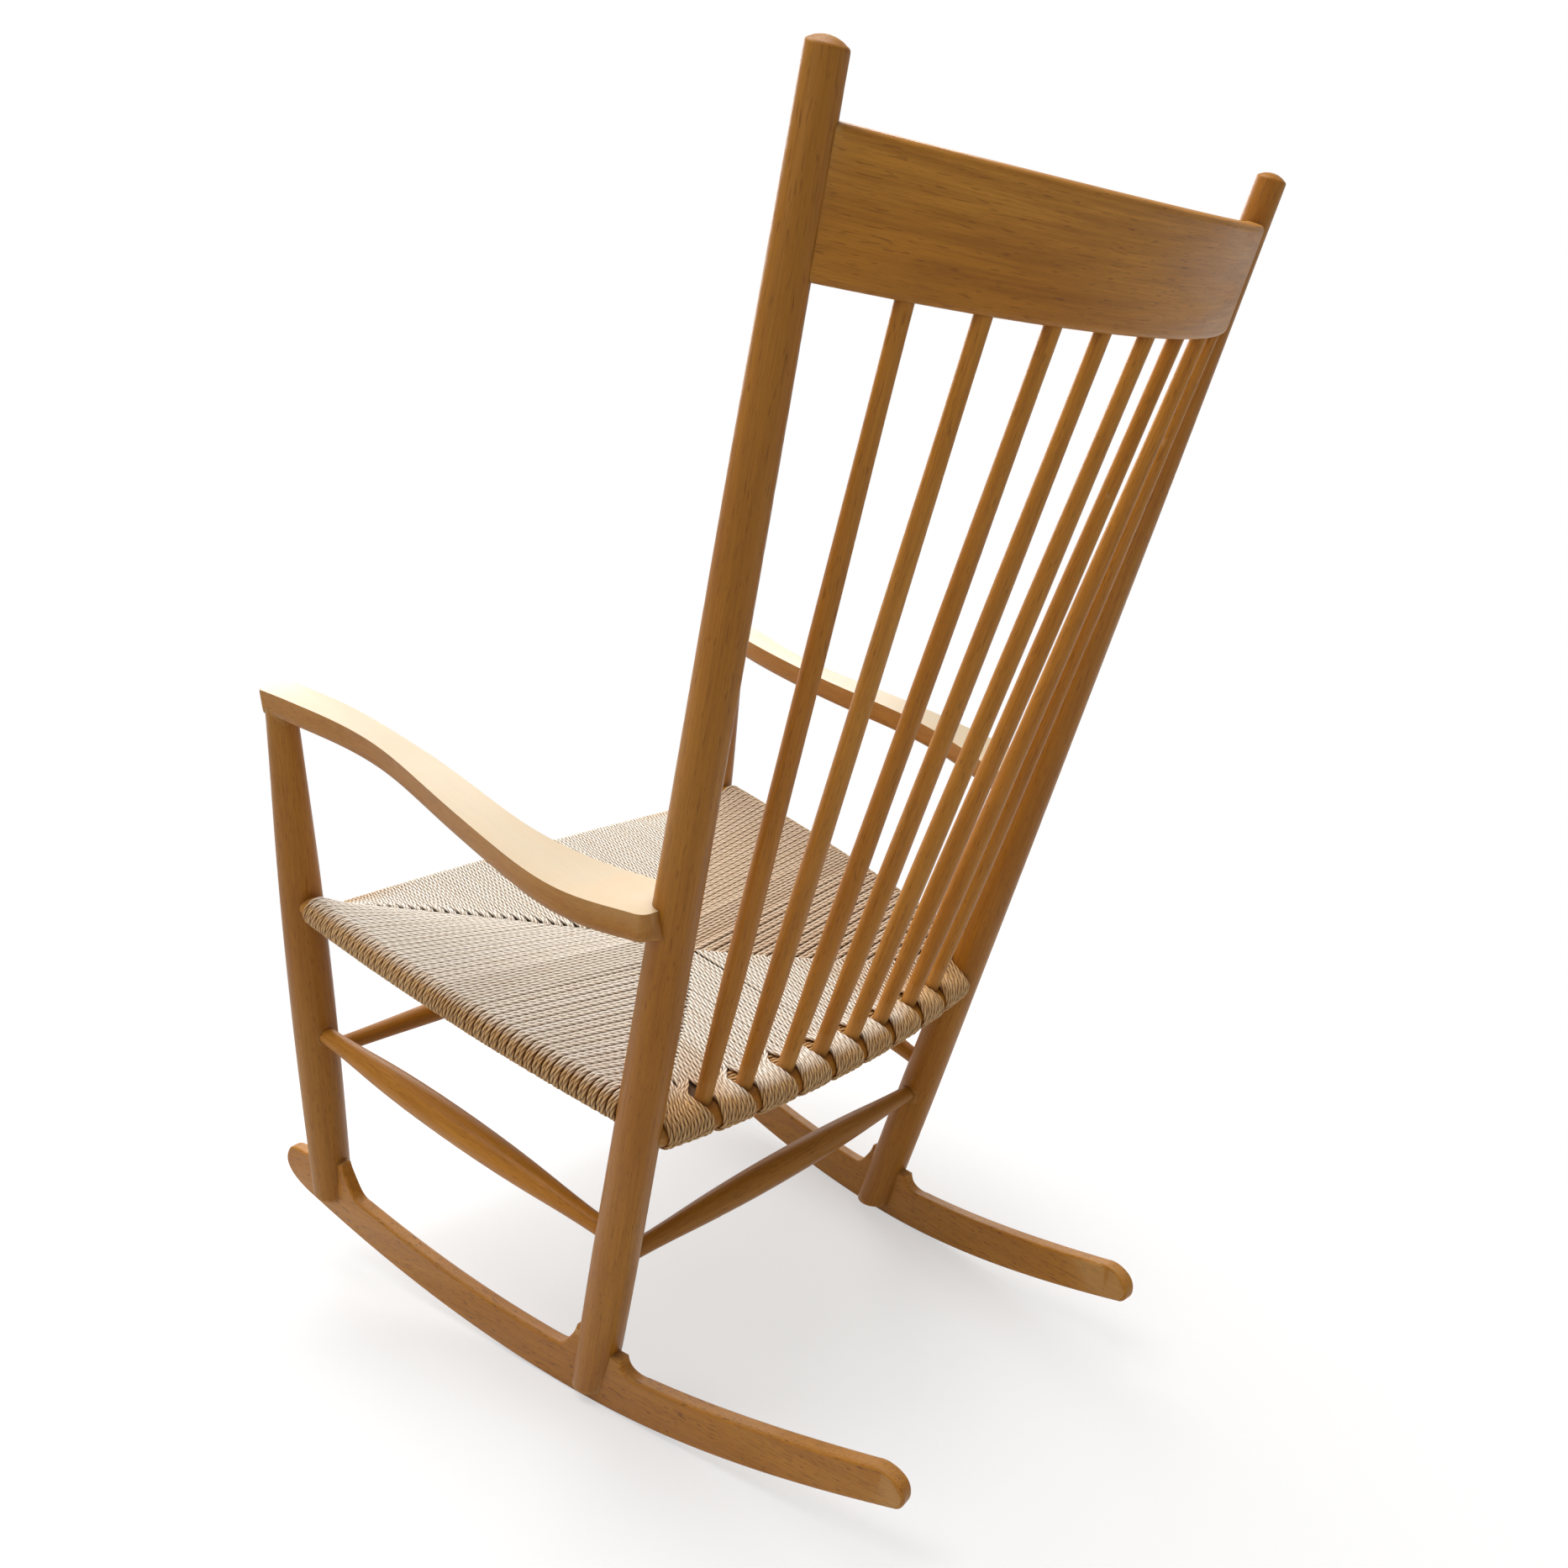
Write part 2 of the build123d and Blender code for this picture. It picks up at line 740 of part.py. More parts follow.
arm_tenon_start = at_height(front_foot, front_top, front_top_height - arm_thickness)
arm_tenon_end = at_height(front_foot, front_top, arm_top - arm_tenon_cover)

with BuildPart() as arm_left:
    add(arm_blank.part)
    add(rear_post_glued, mode=Mode.SUBTRACT)
    with BuildSketch(Plane.XY):
        with Locations((arm_dowel_point.X, arm_ear_y)):
            Rectangle(rear_foot_spacing, arm_length, align=(Align.MAX, Align.MIN))
    extrude(amount=rear_top_height, mode=Mode.SUBTRACT)
    add(drill(arm_tenon_end, arm_tenon_start, arm_tenon_diameter), mode=Mode.SUBTRACT)
    add(
        rod(
            arm_dowel_start,
            Vector(0, -1, 0),
            arm_dowel_diameter + 2 * glue_gap,
            arm_dowel_length + mortise_spare,
        ),
        mode=Mode.SUBTRACT,
    )

with BuildPart() as arm_right:
    mirror(arm_left.part, about=Plane.YZ)

with BuildPart() as arm_dowel_left:
    add(rod(arm_dowel_start, Vector(0, -1, 0), arm_dowel_diameter, arm_dowel_length))

with BuildPart() as arm_dowel_right:
    mirror(arm_dowel_left.part, about=Plane.YZ)

# ---------------------------------------------------------------- posts

with BuildPart() as rear_post_left:
    add(rear_post_blank())
    split(bisect_by=foot_plane(rear_foot), keep=Keep.TOP)
    add(slot_cutter(rear_foot, rear_axis, rear_crotch, rear_radius), mode=Mode.SUBTRACT)
    add(side_mortises, mode=Mode.SUBTRACT)
    add(rear_mortises, mode=Mode.SUBTRACT)
    add(
        drill(side_stretcher_rear, side_stretcher_front, stretcher_end_diameter),
        mode=Mode.SUBTRACT,
    )
    add(
        drill(rear_stretcher_end, on_right(rear_stretcher_end), stretcher_end_diameter),
        mode=Mode.SUBTRACT,
    )
    add(crest_tongue_mortise, mode=Mode.SUBTRACT)
    add(
        drill(
            arm_dowel_start,
            arm_dowel_start - Vector(0, arm_dowel_length, 0),
            arm_dowel_diameter,
        ),
        mode=Mode.SUBTRACT,
    )

with BuildPart() as rear_post_right:
    mirror(rear_post_left.part, about=Plane.YZ)

with BuildPart() as front_post_left:
    add(front_post_blank())
    split(bisect_by=foot_plane(front_foot), keep=Keep.TOP)
    add(
        slot_cutter(front_foot, front_axis, front_crotch, front_radius),
        mode=Mode.SUBTRACT,
    )
    add(side_mortises, mode=Mode.SUBTRACT)
    add(front_mortises, mode=Mode.SUBTRACT)
    add(
        drill(side_stretcher_front, side_stretcher_rear, stretcher_end_diameter),
        mode=Mode.SUBTRACT,
    )
    add(
        drill(front_stretcher_end, on_right(front_stretcher_end), stretcher_end_diameter),
        mode=Mode.SUBTRACT,
    )
    add(arm_blank.part.moved(Location((0, 0, -glue_gap))), mode=Mode.SUBTRACT)
    add(
        rod(
            arm_tenon_start,
            front_axis,
            arm_tenon_diameter,
            (arm_tenon_end - arm_tenon_start).length,
        )
    )

with BuildPart() as front_post_right:
    mirror(front_post_left.part, about=Plane.YZ)

# ---------------------------------------------------------------- stretchers


def swelling(diameter, peak):
    """Diameters along a stretcher that swells from round ends to a peak."""
    growth = diameter - stretcher_end_diameter
    return [
        (0.0, stretcher_end_diameter),
        (0.07, stretcher_end_diameter),
        (peak * 0.5, stretcher_end_diameter + growth * 0.60),
        (peak, diameter),
        (1 - (1 - peak) * 0.5, stretcher_end_diameter + growth * 0.60),
        (0.93, stretcher_end_diameter),
        (1.0, stretcher_end_diameter),
    ]


with BuildPart() as stretcher_left:
    profile = swelling(side_stretcher_swell, side_stretcher_swell_at)
    add(turned(side_stretcher_front, side_stretcher_rear, profile))

with BuildPart() as stretcher_right:
    mirror(stretcher_left.part, about=Plane.YZ)

with BuildPart() as stretcher_rear:
    profile = swelling(rear_stretcher_swell, 0.5)
    add(turned(rear_stretcher_end, on_right(rear_stretcher_end), profile))

with BuildPart() as stretcher_front:
    profile = swelling(front_stretcher_swell, 0.5)
    add(turned(front_stretcher_end, on_right(front_stretcher_end), profile))

# ---------------------------------------------------------------- woven seat

wrap = 2 * cord_diameter
clear = 2 * cord_gap
rear_post_clear = rear_post_blank(cord_gap)
front_post_clear = front_post_blank(cord_gap)
seat_depth = side_rail_rear.Y - side_rail_front.Y


def seat_top(across, along):
    """Height of the woven surface. Both arguments are shares, across from the middle."""
    side_axis = side_rail_front.Z + along * (side_rail_rear.Z - side_rail_front.Z)
    side_height = side_axis + side_rail_diameter / 2 + cord_diameter
    front_height = front_rail_end.Z + front_rail_diameter / 2 + cord_diameter
    rear_height = rear_rail_end.Z + rear_rail_thickness / 2 + cord_diameter
    middle = front_height + along * (rear_height - front_height)
    middle -= seat_sag * (1 - (2 * along - 1) ** 2)
    power = 2 + 3 * abs(2 * along - 1) ** 2
    inside = min(abs(across), 1.0)  # level from the side rail's centre line outwards
    return middle + (side_height - middle) * inside**power


def seat_section(along):
    """Across the seat: the upper and lower layers of cord with the pocket filled."""
    front_half = side_rail_front.X
    half_width = front_half + along * (side_rail_rear.X - front_half)
    shares = [-1.12, -0.8, -0.4, 0.0, 0.4, 0.8, 1.12]
    upper = [(share * half_width, seat_top(share, along)) for share in shares]
    rail_extra = side_rail_diameter + wrap - seat_middle_thickness
    lower = [
        (
            share * half_width,
            seat_top(share, along) - seat_middle_thickness - rail_extra * min(share**2, 1.0),
        )
        for share in shares
    ]
    with BuildSketch(upright_plane(side_rail_front.Y + along * seat_depth)) as section:
        with BuildLine():
            Spline(*upper)
            Line(upper[-1], lower[-1])
            Spline(*reversed(lower))
            Line(lower[0], upper[0])
        make_face()
    return section.sketch


with BuildPart() as seat_web:
    loft([seat_section(along) for along in (-0.12, 0.15, 0.5, 0.85, 1.12)])
    with BuildSketch(Plane.XY):
        with BuildLine():
            rails = [
                (side_rail_front, front_rail_middle, on_right(side_rail_front)),
                (
                    on_right(side_rail_front),
                    on_right(side_rail_middle),
                    on_right(side_rail_rear),
                ),
                (on_right(side_rail_rear), rear_rail_middle, side_rail_rear),
                (side_rail_rear, side_rail_middle, side_rail_front),
            ]
            for rail in rails:
                ThreePointArc(*[(point.X, point.Y) for point in rail])
        make_face()
    extrude(amount=rear_top_height, mode=Mode.INTERSECT)

with BuildPart() as seat_cord:
    add(side_rail_bar(side_rail_diameter + wrap))
    mirror(side_rail_bar(side_rail_diameter + wrap), about=Plane.YZ)
    add(front_rail_bar(front_rail_diameter + wrap))
    add(rear_rail_bar(rear_rail_width + wrap, rear_rail_thickness + wrap))
    add(seat_web.part)
    for post in (rear_post_clear, front_post_clear):
        add(post, mode=Mode.SUBTRACT)
        mirror(post, about=Plane.YZ, mode=Mode.SUBTRACT)
    add(side_rail_bar(side_rail_diameter + clear), mode=Mode.SUBTRACT)
    mirror(side_rail_bar(side_rail_diameter + clear), about=Plane.YZ, mode=Mode.SUBTRACT)
    add(front_rail_bar(front_rail_diameter + clear), mode=Mode.SUBTRACT)
    add(
        rear_rail_bar(rear_rail_width + clear, rear_rail_thickness + clear),
        mode=Mode.SUBTRACT,
    )
    # the gaps between the bundles of cord, one at each spindle
    for foot in spindle_feet:
        with BuildSketch(Plane(origin=foot, x_dir=Vector(1, 0, 0), z_dir=seat_up)):
            with Locations((0, -bundle_gap_forward)):
                Rectangle(
                    bundle_gap,
                    2 * rear_rail_width + bundle_gap_forward,
                    align=(Align.CENTER, Align.MIN),
                )
        extrude(amount=2 * rear_rail_thickness, both=True, mode=Mode.SUBTRACT)

# ---------------------------------------------------------------- files

finished = {
    "rear_post_left": rear_post_left,
    "rear_post_right": rear_post_right,
    "front_post_left": front_post_left,
    "front_post_right": front_post_right,
    "arm_left": arm_left,
    "arm_right": arm_right,
    "arm_dowel_left": arm_dowel_left,
    "arm_dowel_right": arm_dowel_right,
    "crest_rail": crest_rail,
    "seat_rail_left": seat_rail_left,
    "seat_rail_right": seat_rail_right,
    "seat_rail_front": seat_rail_front,
    "seat_rail_rear": seat_rail_rear,
    "stretcher_left": stretcher_left,
    "stretcher_right": stretcher_right,
    "stretcher_front": stretcher_front,
    "stretcher_rear": stretcher_rear,
    "seat_cord": seat_cord,
}
for name, piece in finished.items():
    piece.part.label = name
    export_step(piece.part, f"parts/{name}.step")
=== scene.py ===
"""A tall-backed rocking chair of honey-coloured wood with a seat woven in paper cord."""

import math

import bpy
import numpy as np
from mathutils import Matrix, Vector


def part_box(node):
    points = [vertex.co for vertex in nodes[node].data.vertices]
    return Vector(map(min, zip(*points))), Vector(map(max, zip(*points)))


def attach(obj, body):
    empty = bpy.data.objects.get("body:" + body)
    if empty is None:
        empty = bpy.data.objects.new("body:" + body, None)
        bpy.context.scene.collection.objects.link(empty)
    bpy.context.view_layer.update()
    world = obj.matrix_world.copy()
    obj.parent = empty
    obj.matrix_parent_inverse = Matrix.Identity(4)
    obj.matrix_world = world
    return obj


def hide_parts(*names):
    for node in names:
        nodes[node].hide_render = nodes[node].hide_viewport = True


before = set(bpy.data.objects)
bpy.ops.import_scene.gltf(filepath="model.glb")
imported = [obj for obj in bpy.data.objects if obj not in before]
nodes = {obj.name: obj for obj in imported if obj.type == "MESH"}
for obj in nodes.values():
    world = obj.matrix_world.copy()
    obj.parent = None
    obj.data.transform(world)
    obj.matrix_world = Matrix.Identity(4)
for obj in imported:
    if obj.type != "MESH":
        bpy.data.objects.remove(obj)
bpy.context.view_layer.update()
scene = bpy.context.scene
scene.view_settings.view_transform = "Standard"
MM = 0.001

# ---------------------------------------------------------------- camera

PHOTO = 1866
CAMERA_AT = Vector((0.785668, 0.908125, 0.889138))
CAMERA_TURN, CAMERA_TILT, CAMERA_ROLL = 2.2911, 0.3582, 0.0101
FOCAL_PIXELS = 1514.645
SHIFT_PIXELS = (-119.656, 151.837)
SENSOR = 36.0


def add_camera():
    back = Vector(
        (
            math.sin(CAMERA_TURN) * math.cos(CAMERA_TILT),
            -math.cos(CAMERA_TURN) * math.cos(CAMERA_TILT),
            math.sin(CAMERA_TILT),
        )
    )
    ahead = -back
    level = ahead.cross(Vector((0, 0, 1))).normalized()
    low = ahead.cross(level)
    right = math.cos(CAMERA_ROLL) * level + math.sin(CAMERA_ROLL) * low
    down = -math.sin(CAMERA_ROLL) * level + math.cos(CAMERA_ROLL) * low
    data = bpy.data.cameras.new("camera")
    data.sensor_width = SENSOR
    data.lens = SENSOR * FOCAL_PIXELS / PHOTO
    data.shift_x = SHIFT_PIXELS[0] / PHOTO
    data.shift_y = SHIFT_PIXELS[1] / PHOTO
    camera = bpy.data.objects.new("camera", data)
    turn = Matrix((right, -down, back)).transposed()
    camera.matrix_world = Matrix.Translation(CAMERA_AT) @ turn.to_4x4()
    scene.collection.objects.link(camera)
    scene.camera = camera


# ---------------------------------------------------------------- shader helpers


class Shader:
    """A material's node tree, built from small calls that return output sockets."""

    def __init__(self, name):
        self.material = bpy.data.materials.new(name)
        self.material.use_nodes = True
        self.tree = self.material.node_tree
        self.tree.nodes.clear()

    def node(self, kind, **settings):
        made = self.tree.nodes.new("ShaderNode" + kind)
        for key, value in settings.items():
            setattr(made, key, value)
        return made

    def put(self, socket, value):
        if isinstance(value, bpy.types.NodeSocket):
            self.tree.links.new(value, socket)
        elif isinstance(value, (tuple, list)) and socket.type == "RGBA" and len(value) == 3:
            socket.default_value = (*value, 1.0)
        else:
            socket.default_value = value

    def math(self, operation, a, b=0.0):
        made = self.node("Math", operation=operation)
        self.put(made.inputs[0], a)
        self.put(made.inputs[1], b)
        return made.outputs[0]

    def dot(self, vector, direction):
        made = self.node("VectorMath", operation="DOT_PRODUCT")
        self.put(made.inputs[0], vector)
        self.put(made.inputs[1], tuple(direction))
        return made.outputs["Value"]

    def join(self, x, y, z):
        made = self.node("CombineXYZ")
        for socket, value in zip(made.inputs, (x, y, z)):
            self.put(socket, value)
        return made.outputs[0]

    def stretch(self, vector, scale, shift=(0.0, 0.0, 0.0)):
        made = self.node("Mapping")
        self.put(made.inputs["Vector"], vector)
        made.inputs["Scale"].default_value = scale
        made.inputs["Location"].default_value = shift
        return made.outputs[0]

    def noise(self, vector, scale, detail=2.0, rough=0.5):
        made = self.node("TexNoise")
        self.put(made.inputs["Vector"], vector)
        made.inputs["Scale"].default_value = scale
        made.inputs["Detail"].default_value = detail
        made.inputs["Roughness"].default_value = rough
        return made.outputs["Fac"]

    def ramp(self, value, low, high, out_low=0.0, out_high=1.0):
        made = self.node("MapRange", interpolation_type="SMOOTHSTEP")
        self.put(made.inputs["Value"], value)
        made.inputs["From Min"].default_value = low
        made.inputs["From Max"].default_value = high
        made.inputs["To Min"].default_value = out_low
        made.inputs["To Max"].default_value = out_high
        return made.outputs["Result"]

    def mix(self, factor, a, b):
        made = self.node("Mix", data_type="RGBA")
        self.put(made.inputs["Factor"], factor)
        self.put(made.inputs["A"], a)
        self.put(made.inputs["B"], b)
        return made.outputs["Result"]

    def attribute(self, name):
        return self.node("Attribute", attribute_name=name).outputs["Fac"]

    def occlusion_shade(self, reach, low, high, strength):
        """How strongly painted shade darkens corners narrower than the reach, in metres, from ambient
        occlusion.
        """
        made = self.node("AmbientOcclusion", samples=6)
        made.inputs["Distance"].default_value = reach
        return self.ramp(made.outputs["AO"], low, high, strength, 0.0)

    def bump(self, height, distance, strength):
        made = self.node("Bump")
        made.inputs["Strength"].default_value = strength
        made.inputs["Distance"].default_value = distance
        self.put(made.inputs["Height"], height)
        return made.outputs[0]

    def surface(self, **values):
        made = self.node("BsdfPrincipled")
        for name, value in values.items():
            self.put(made.inputs[name.replace("_", " ")], value)
        out = self.node("OutputMaterial")
        self.tree.links.new(made.outputs[0], out.inputs["Surface"])
        return self.material


# ---------------------------------------------------------------- wood

WOOD_LIGHT = (0.51, 0.222, 0.030)
WOOD_MID = (0.43, 0.163, 0.014)
WOOD_DARK = (0.25, 0.080, 0.005)
WOOD_FLECK = (0.12, 0.036, 0.004)
# Painted light: the lit colour given to upward faces.
WOOD_LIT_TOP = (0.67, 0.60, 0.43)
# Painted highlight along convex edges.
WOOD_EDGE_HIGHLIGHT = (0.68, 0.42, 0.17)
# Painted shade in tight corners.
WOOD_CORNER_SHADE = (0.14, 0.05, 0.01)

# How fine each pattern is, per metre: along the grain, across it and through the board.
SWAY_SCALE = (1.6, 7.0, 7.0)
FIBRE_SCALE = (9.0, 700.0, 700.0)
PORE_SCALE = (90.0, 1500.0, 1500.0)
DASH_SCALE = (85.0, 800.0, 800.0)
CLOUD_SCALE = (2.2, 11.0, 11.0)
SMEAR_SCALE = (6.0, 28.0, 28.0)
RINGS_PER_METRE = 150.0
RING_SWAY = 0.04  # metres
SEED_SHIFT = (3.71, 1.37, 2.11)  # moves the pattern on by this much per unit of seed


def grain_frame(shader, along, across):
    """Coordinates in metres along the grain, across the face and through the board."""
    along = Vector(along).normalized()
    across = Vector(across)
    across = (across - along * across.dot(along)).normalized()
    through = along.cross(across)
    place = shader.node("TexCoord").outputs["Object"]
    return [shader.dot(place, axis) for axis in (along, across, through)]


def bent_frame(shader, lean, centre_depth, radius):
    """The same for a board bent to an arc across a leaning back."""
    back_up = Vector((0, math.sin(lean), math.cos(lean)))
    back_rear = Vector((0, math.cos(lean), -math.sin(lean)))
    place = shader.node("TexCoord").outputs["Object"]
    across = shader.dot(place, (1, 0, 0))
    depth = shader.math("SUBTRACT", shader.dot(place, back_rear), centre_depth)
    angle = shader.math("ARCTAN2", across, depth)
    reach = shader.math("POWER", across, 2.0)
    reach = shader.math("ADD", reach, shader.math("POWER", depth, 2.0))
    return [
        shader.math("MULTIPLY", angle, radius),
        shader.dot(place, back_up),
        shader.math("SQRT", reach),
    ]


def growth_rings(shader, place, axes, shift):
    """Wavy bands that run along the grain."""
    u, v, w = axes
    sway = shader.noise(shader.stretch(place, SWAY_SCALE, shift), 1.0, 1.0)
    sway = shader.math("MULTIPLY", shader.math("SUBTRACT", sway, 0.5), RING_SWAY)
    ring_v = shader.math("ADD", v, sway)
    ring_w = shader.math("ADD", shader.math("MULTIPLY", w, 0.6), sway)
    ring_u = shader.math("MULTIPLY", u, 0.06)
    ring_place = shader.stretch(shader.join(ring_u, ring_v, ring_w), (1, 1, 1), shift)
    return shader.ramp(shader.noise(ring_place, RINGS_PER_METRE, 2.0, 0.65), 0.34, 0.70)


def add_knot(shader, axes, color, knot_u, knot_v, size):
    """A dark eye with a halo round it, its place and size in metres."""
    du = shader.math("MULTIPLY", shader.math("SUBTRACT", axes[0], knot_u), 0.6)
    dv = shader.math("SUBTRACT", axes[1], knot_v)
    away = shader.math("ADD", shader.math("POWER", du, 2.0), shader.math("POWER", dv, 2.0))
    away = shader.math("SQRT", away)
    eye = shader.math("SUBTRACT", 1.0, shader.ramp(away, size * 0.35, size))
    color = shader.mix(shader.math("MULTIPLY", eye, 0.75), color, WOOD_FLECK)
    halo = shader.math("SUBTRACT", 1.0, shader.ramp(away, size, size * 2.6))
    return shader.mix(shader.math("MULTIPLY", halo, 0.28), color, WOOD_DARK)


def add_painted_light(shader, color, top_light):
    """Paints light on what faces up, a highlight along convex edges and shade in tight corners."""
    geometry = shader.node("NewGeometry")
    # Painted light: faces that point up are painted lighter.
    if top_light:
        facing = shader.node("SeparateXYZ")
        shader.put(facing.inputs[0], geometry.outputs["Normal"])
        up = shader.ramp(facing.outputs["Z"], 0.45, 0.95, 0.0, top_light)
        color = shader.mix(up, color, WOOD_LIT_TOP)
    # Painted highlight: convex edges are painted lighter.
    edge_highlight = shader.ramp(geometry.outputs["Pointiness"], 0.52, 0.60, 0.0, 0.35)
    color = shader.mix(edge_highlight, color, WOOD_EDGE_HIGHLIGHT)
    # Painted shade: tight corners are darkened by ambient occlusion.
    return shader.mix(shader.occlusion_shade(0.012, 0.35, 0.95, 0.5), color, WOOD_CORNER_SHADE)


def wood(shader, axes, seed, rings=1.0, flecks=0.35, knots=(), top_light=0.0, coat=0.14, shade=1.0):
    """A planed and lacquered wood.

    rings and flecks set how strongly each shows, the painted light on top how much lighter the upward
    faces are painted, coat how much lacquer is left, and shade makes the whole piece lighter or darker.
    """
    place = shader.join(*axes)
    shift = tuple(seed * part for part in SEED_SHIFT)
    band = growth_rings(shader, place, axes, shift)
    fibre = shader.noise(shader.stretch(place, FIBRE_SCALE, shift), 1.0, 3.0, 0.6)
    pore = shader.noise(shader.stretch(place, PORE_SCALE, shift), 1.0, 1.0, 0.5)
    pore = shader.ramp(pore, 0.58, 0.72)
    dash = shader.noise(shader.stretch(place, DASH_SCALE, shift), 1.0, 0.0)
    dash = shader.ramp(dash, 0.69, 0.76)
    cloud = shader.noise(shader.stretch(place, CLOUD_SCALE, shift), 1.0, 2.0)
    light, middle = ([shade * part for part in tone] for tone in (WOOD_LIGHT, WOOD_MID))
    color = shader.mix(shader.ramp(cloud, 0.3, 0.7), middle, light)
    color = shader.mix(shader.math("MULTIPLY", band, 0.36 * rings), color, WOOD_DARK)
    color = shader.mix(shader.ramp(fibre, 0.35, 0.75, 0.0, 0.34), color, WOOD_DARK)
    color = shader.mix(shader.math("MULTIPLY", pore, 0.5 * flecks), color, WOOD_FLECK)
    color = shader.mix(shader.math("MULTIPLY", dash, flecks), color, WOOD_FLECK)
    for knot in knots:
        color = add_knot(shader, axes, color, *knot)
    color = add_painted_light(shader, color, top_light)
    smear = shader.noise(shader.stretch(place, SMEAR_SCALE, shift), 1.0, 3.0)
    height = shader.math("SUBTRACT", shader.math("MULTIPLY", fibre, 0.5), pore)
    return shader.surface(
        Base_Color=color,
        Roughness=shader.ramp(smear, 0.3, 0.7, 0.38, 0.52),
        Specular_IOR_Level=0.16,
        Coat_Weight=coat,
        Coat_Roughness=0.3,
        Normal=shader.bump(height, 0.0001, 0.6),
    )


def dress(node, material):
    mesh = nodes[node].data
    mesh.materials.clear()
    mesh.materials.append(material)


def dress_straight(node, along, across, seed, **look):
    """Gives a straight piece a wood whose grain runs along it."""
    shader = Shader(node)
    dress(node, wood(shader, grain_frame(shader, along, across), seed, **look))


# Which way the grain runs in the pieces of the sitter's left side.
REAR_POST = (36.0, 392.0, 1062.0)
FRONT_POST = (17.0, 128.4, 574.0)
ROCKER = (-51.5, 406.0, 0.0)
ARM = (-12.0, 511.0, -108.0)
SIDE_RAIL = (-51.0, 452.0, -98.0)
ACROSS, REARWARD, UPRIGHT = (1, 0, 0), (0, 1, 0), (0, 0, 1)
ROCKER_KNOTS = ((0.117, 0.045, 0.0022), (-0.03, 0.03, 0.0016))

# The rockers and arms get painted light on their upward faces.
SIDE_PIECES = {
    "rear_post": (REAR_POST, ACROSS, {"rings": 0.8}),
    "front_post": (FRONT_POST, ACROSS, {"rings": 0.8, "shade": 0.87}),
    "rocker": (ROCKER, UPRIGHT, {"rings": 0.7, "flecks": 0.7, "top_light": 0.08, "shade": 1.1}),
    "arm": (ARM, ACROSS, {"rings": 0.6, "flecks": 0.25, "top_light": 0.72, "coat": 0.35}),
    "stretcher": (SIDE_RAIL, ACROSS, {"rings": 0.8, "shade": 1.2}),
    "seat_rail": (SIDE_RAIL, ACROSS, {"rings": 0.6}),
    "arm_dowel": (REARWARD, ACROSS, {"rings": 0.4}),
}
CROSS_PIECES = {
    "seat_rail_front": {"rings": 0.6},
    "seat_rail_rear": {"rings": 0.6},
    "stretcher_front": {"rings": 0.8, "shade": 0.88},
    "stretcher_rear": {"rings": 0.8, "shade": 0.88},
}
SPINDLE_COUNT = 8
SPINDLE_WIDTH = 0.0145  # metres
BACK_LEAN = math.atan2(392.0, 1050.0)
CREST_HALF_SPAN = 242.5
CREST_BOW = 68.5
CREST_MIDDLE = 0.99  # metres up


def dress_sides():
    for side, mirror, first_seed in (("left", 1, 1.0), ("right", -1, 5.0)):
        for number, (piece, (along, across, look)) in enumerate(SIDE_PIECES.items()):
            if piece == "rocker" and side == "left":
                look = {**look, "knots": ROCKER_KNOTS}
            along = (mirror * along[0], along[1], along[2])
            dress_straight(f"{piece}_{side}", along, across, first_seed + number, **look)


def dress_spindles():
    for number in range(1, SPINDLE_COUNT + 1):
        name = f"spindle_{number}"
        low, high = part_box(name)
        outward = 1 if number <= SPINDLE_COUNT / 2 else -1
        along = ((high.x - low.x - SPINDLE_WIDTH) * outward, high.y - low.y, high.z - low.z)
        dress_straight(name, along, ACROSS, 20.0 + number, rings=0.7, shade=1.16)


def dress_crest():
    shader = Shader("crest_rail")
    radius = (CREST_HALF_SPAN**2 + CREST_BOW**2) / (2 * CREST_BOW) * MM
    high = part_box("crest_rail")[1]
    rearmost = high.y * math.cos(BACK_LEAN) - CREST_MIDDLE * math.sin(BACK_LEAN)
    axes = bent_frame(shader, BACK_LEAN, rearmost - radius, radius)
    dress("crest_rail", wood(shader, axes, 31.0, rings=1.1, shade=1.22))


def dress_wood():
    dress_sides()
    for number, (name, look) in enumerate(CROSS_PIECES.items()):
        dress_straight(name, ACROSS, UPRIGHT, 12.0 + number, **look)
    dress_spindles()
    dress_crest()


# ---------------------------------------------------------------- woven seat

# Sizes of the seat are in millimetres. Left and right mirror each other.
AHEAD = 7.9  # how far the seat's own origin lies behind the frame's

CORD = 1.95  # radius of the cord
PLIES = 3
RING = 15  # points round the cord
STEP = 2.2  # between rings
LAY = 24.0  # one turn of the plies
PLY_DEPTH = 0.34  # of the radius, how deep the grooves between plies are

# The rails' centre lines: ends on the left, and how far each bows out in the middle.
SIDE_REAR = np.array((222.98, 135.76, 365.0))
SIDE_FRONT = np.array((273.93, -316.09, 463.23))
SIDE_BOW = 8.5
FRONT_END = np.array((272.95, -323.41, 430.49))
FRONT_BOW = 10.5
REAR_END = np.array((222.14, 126.55, 340.08))
REAR_BOW = 22.0
SLOPE = math.atan2(98.23, 451.85)
SEAT_BACK = np.array((0.0, math.cos(SLOPE), -math.sin(SLOPE)))
SEAT_UP = np.array((0.0, math.sin(SLOPE), math.cos(SLOPE)))
SEAT_LEFT = np.array((1.0, 0.0, 0.0))

# From a rail's centre to the cord's centre: outwards and upwards.
SIDE_WRAP = (13.3, 13.3)
FRONT_WRAP = (13.3, 13.3)
REAR_WRAP = (18.3, 14.6)

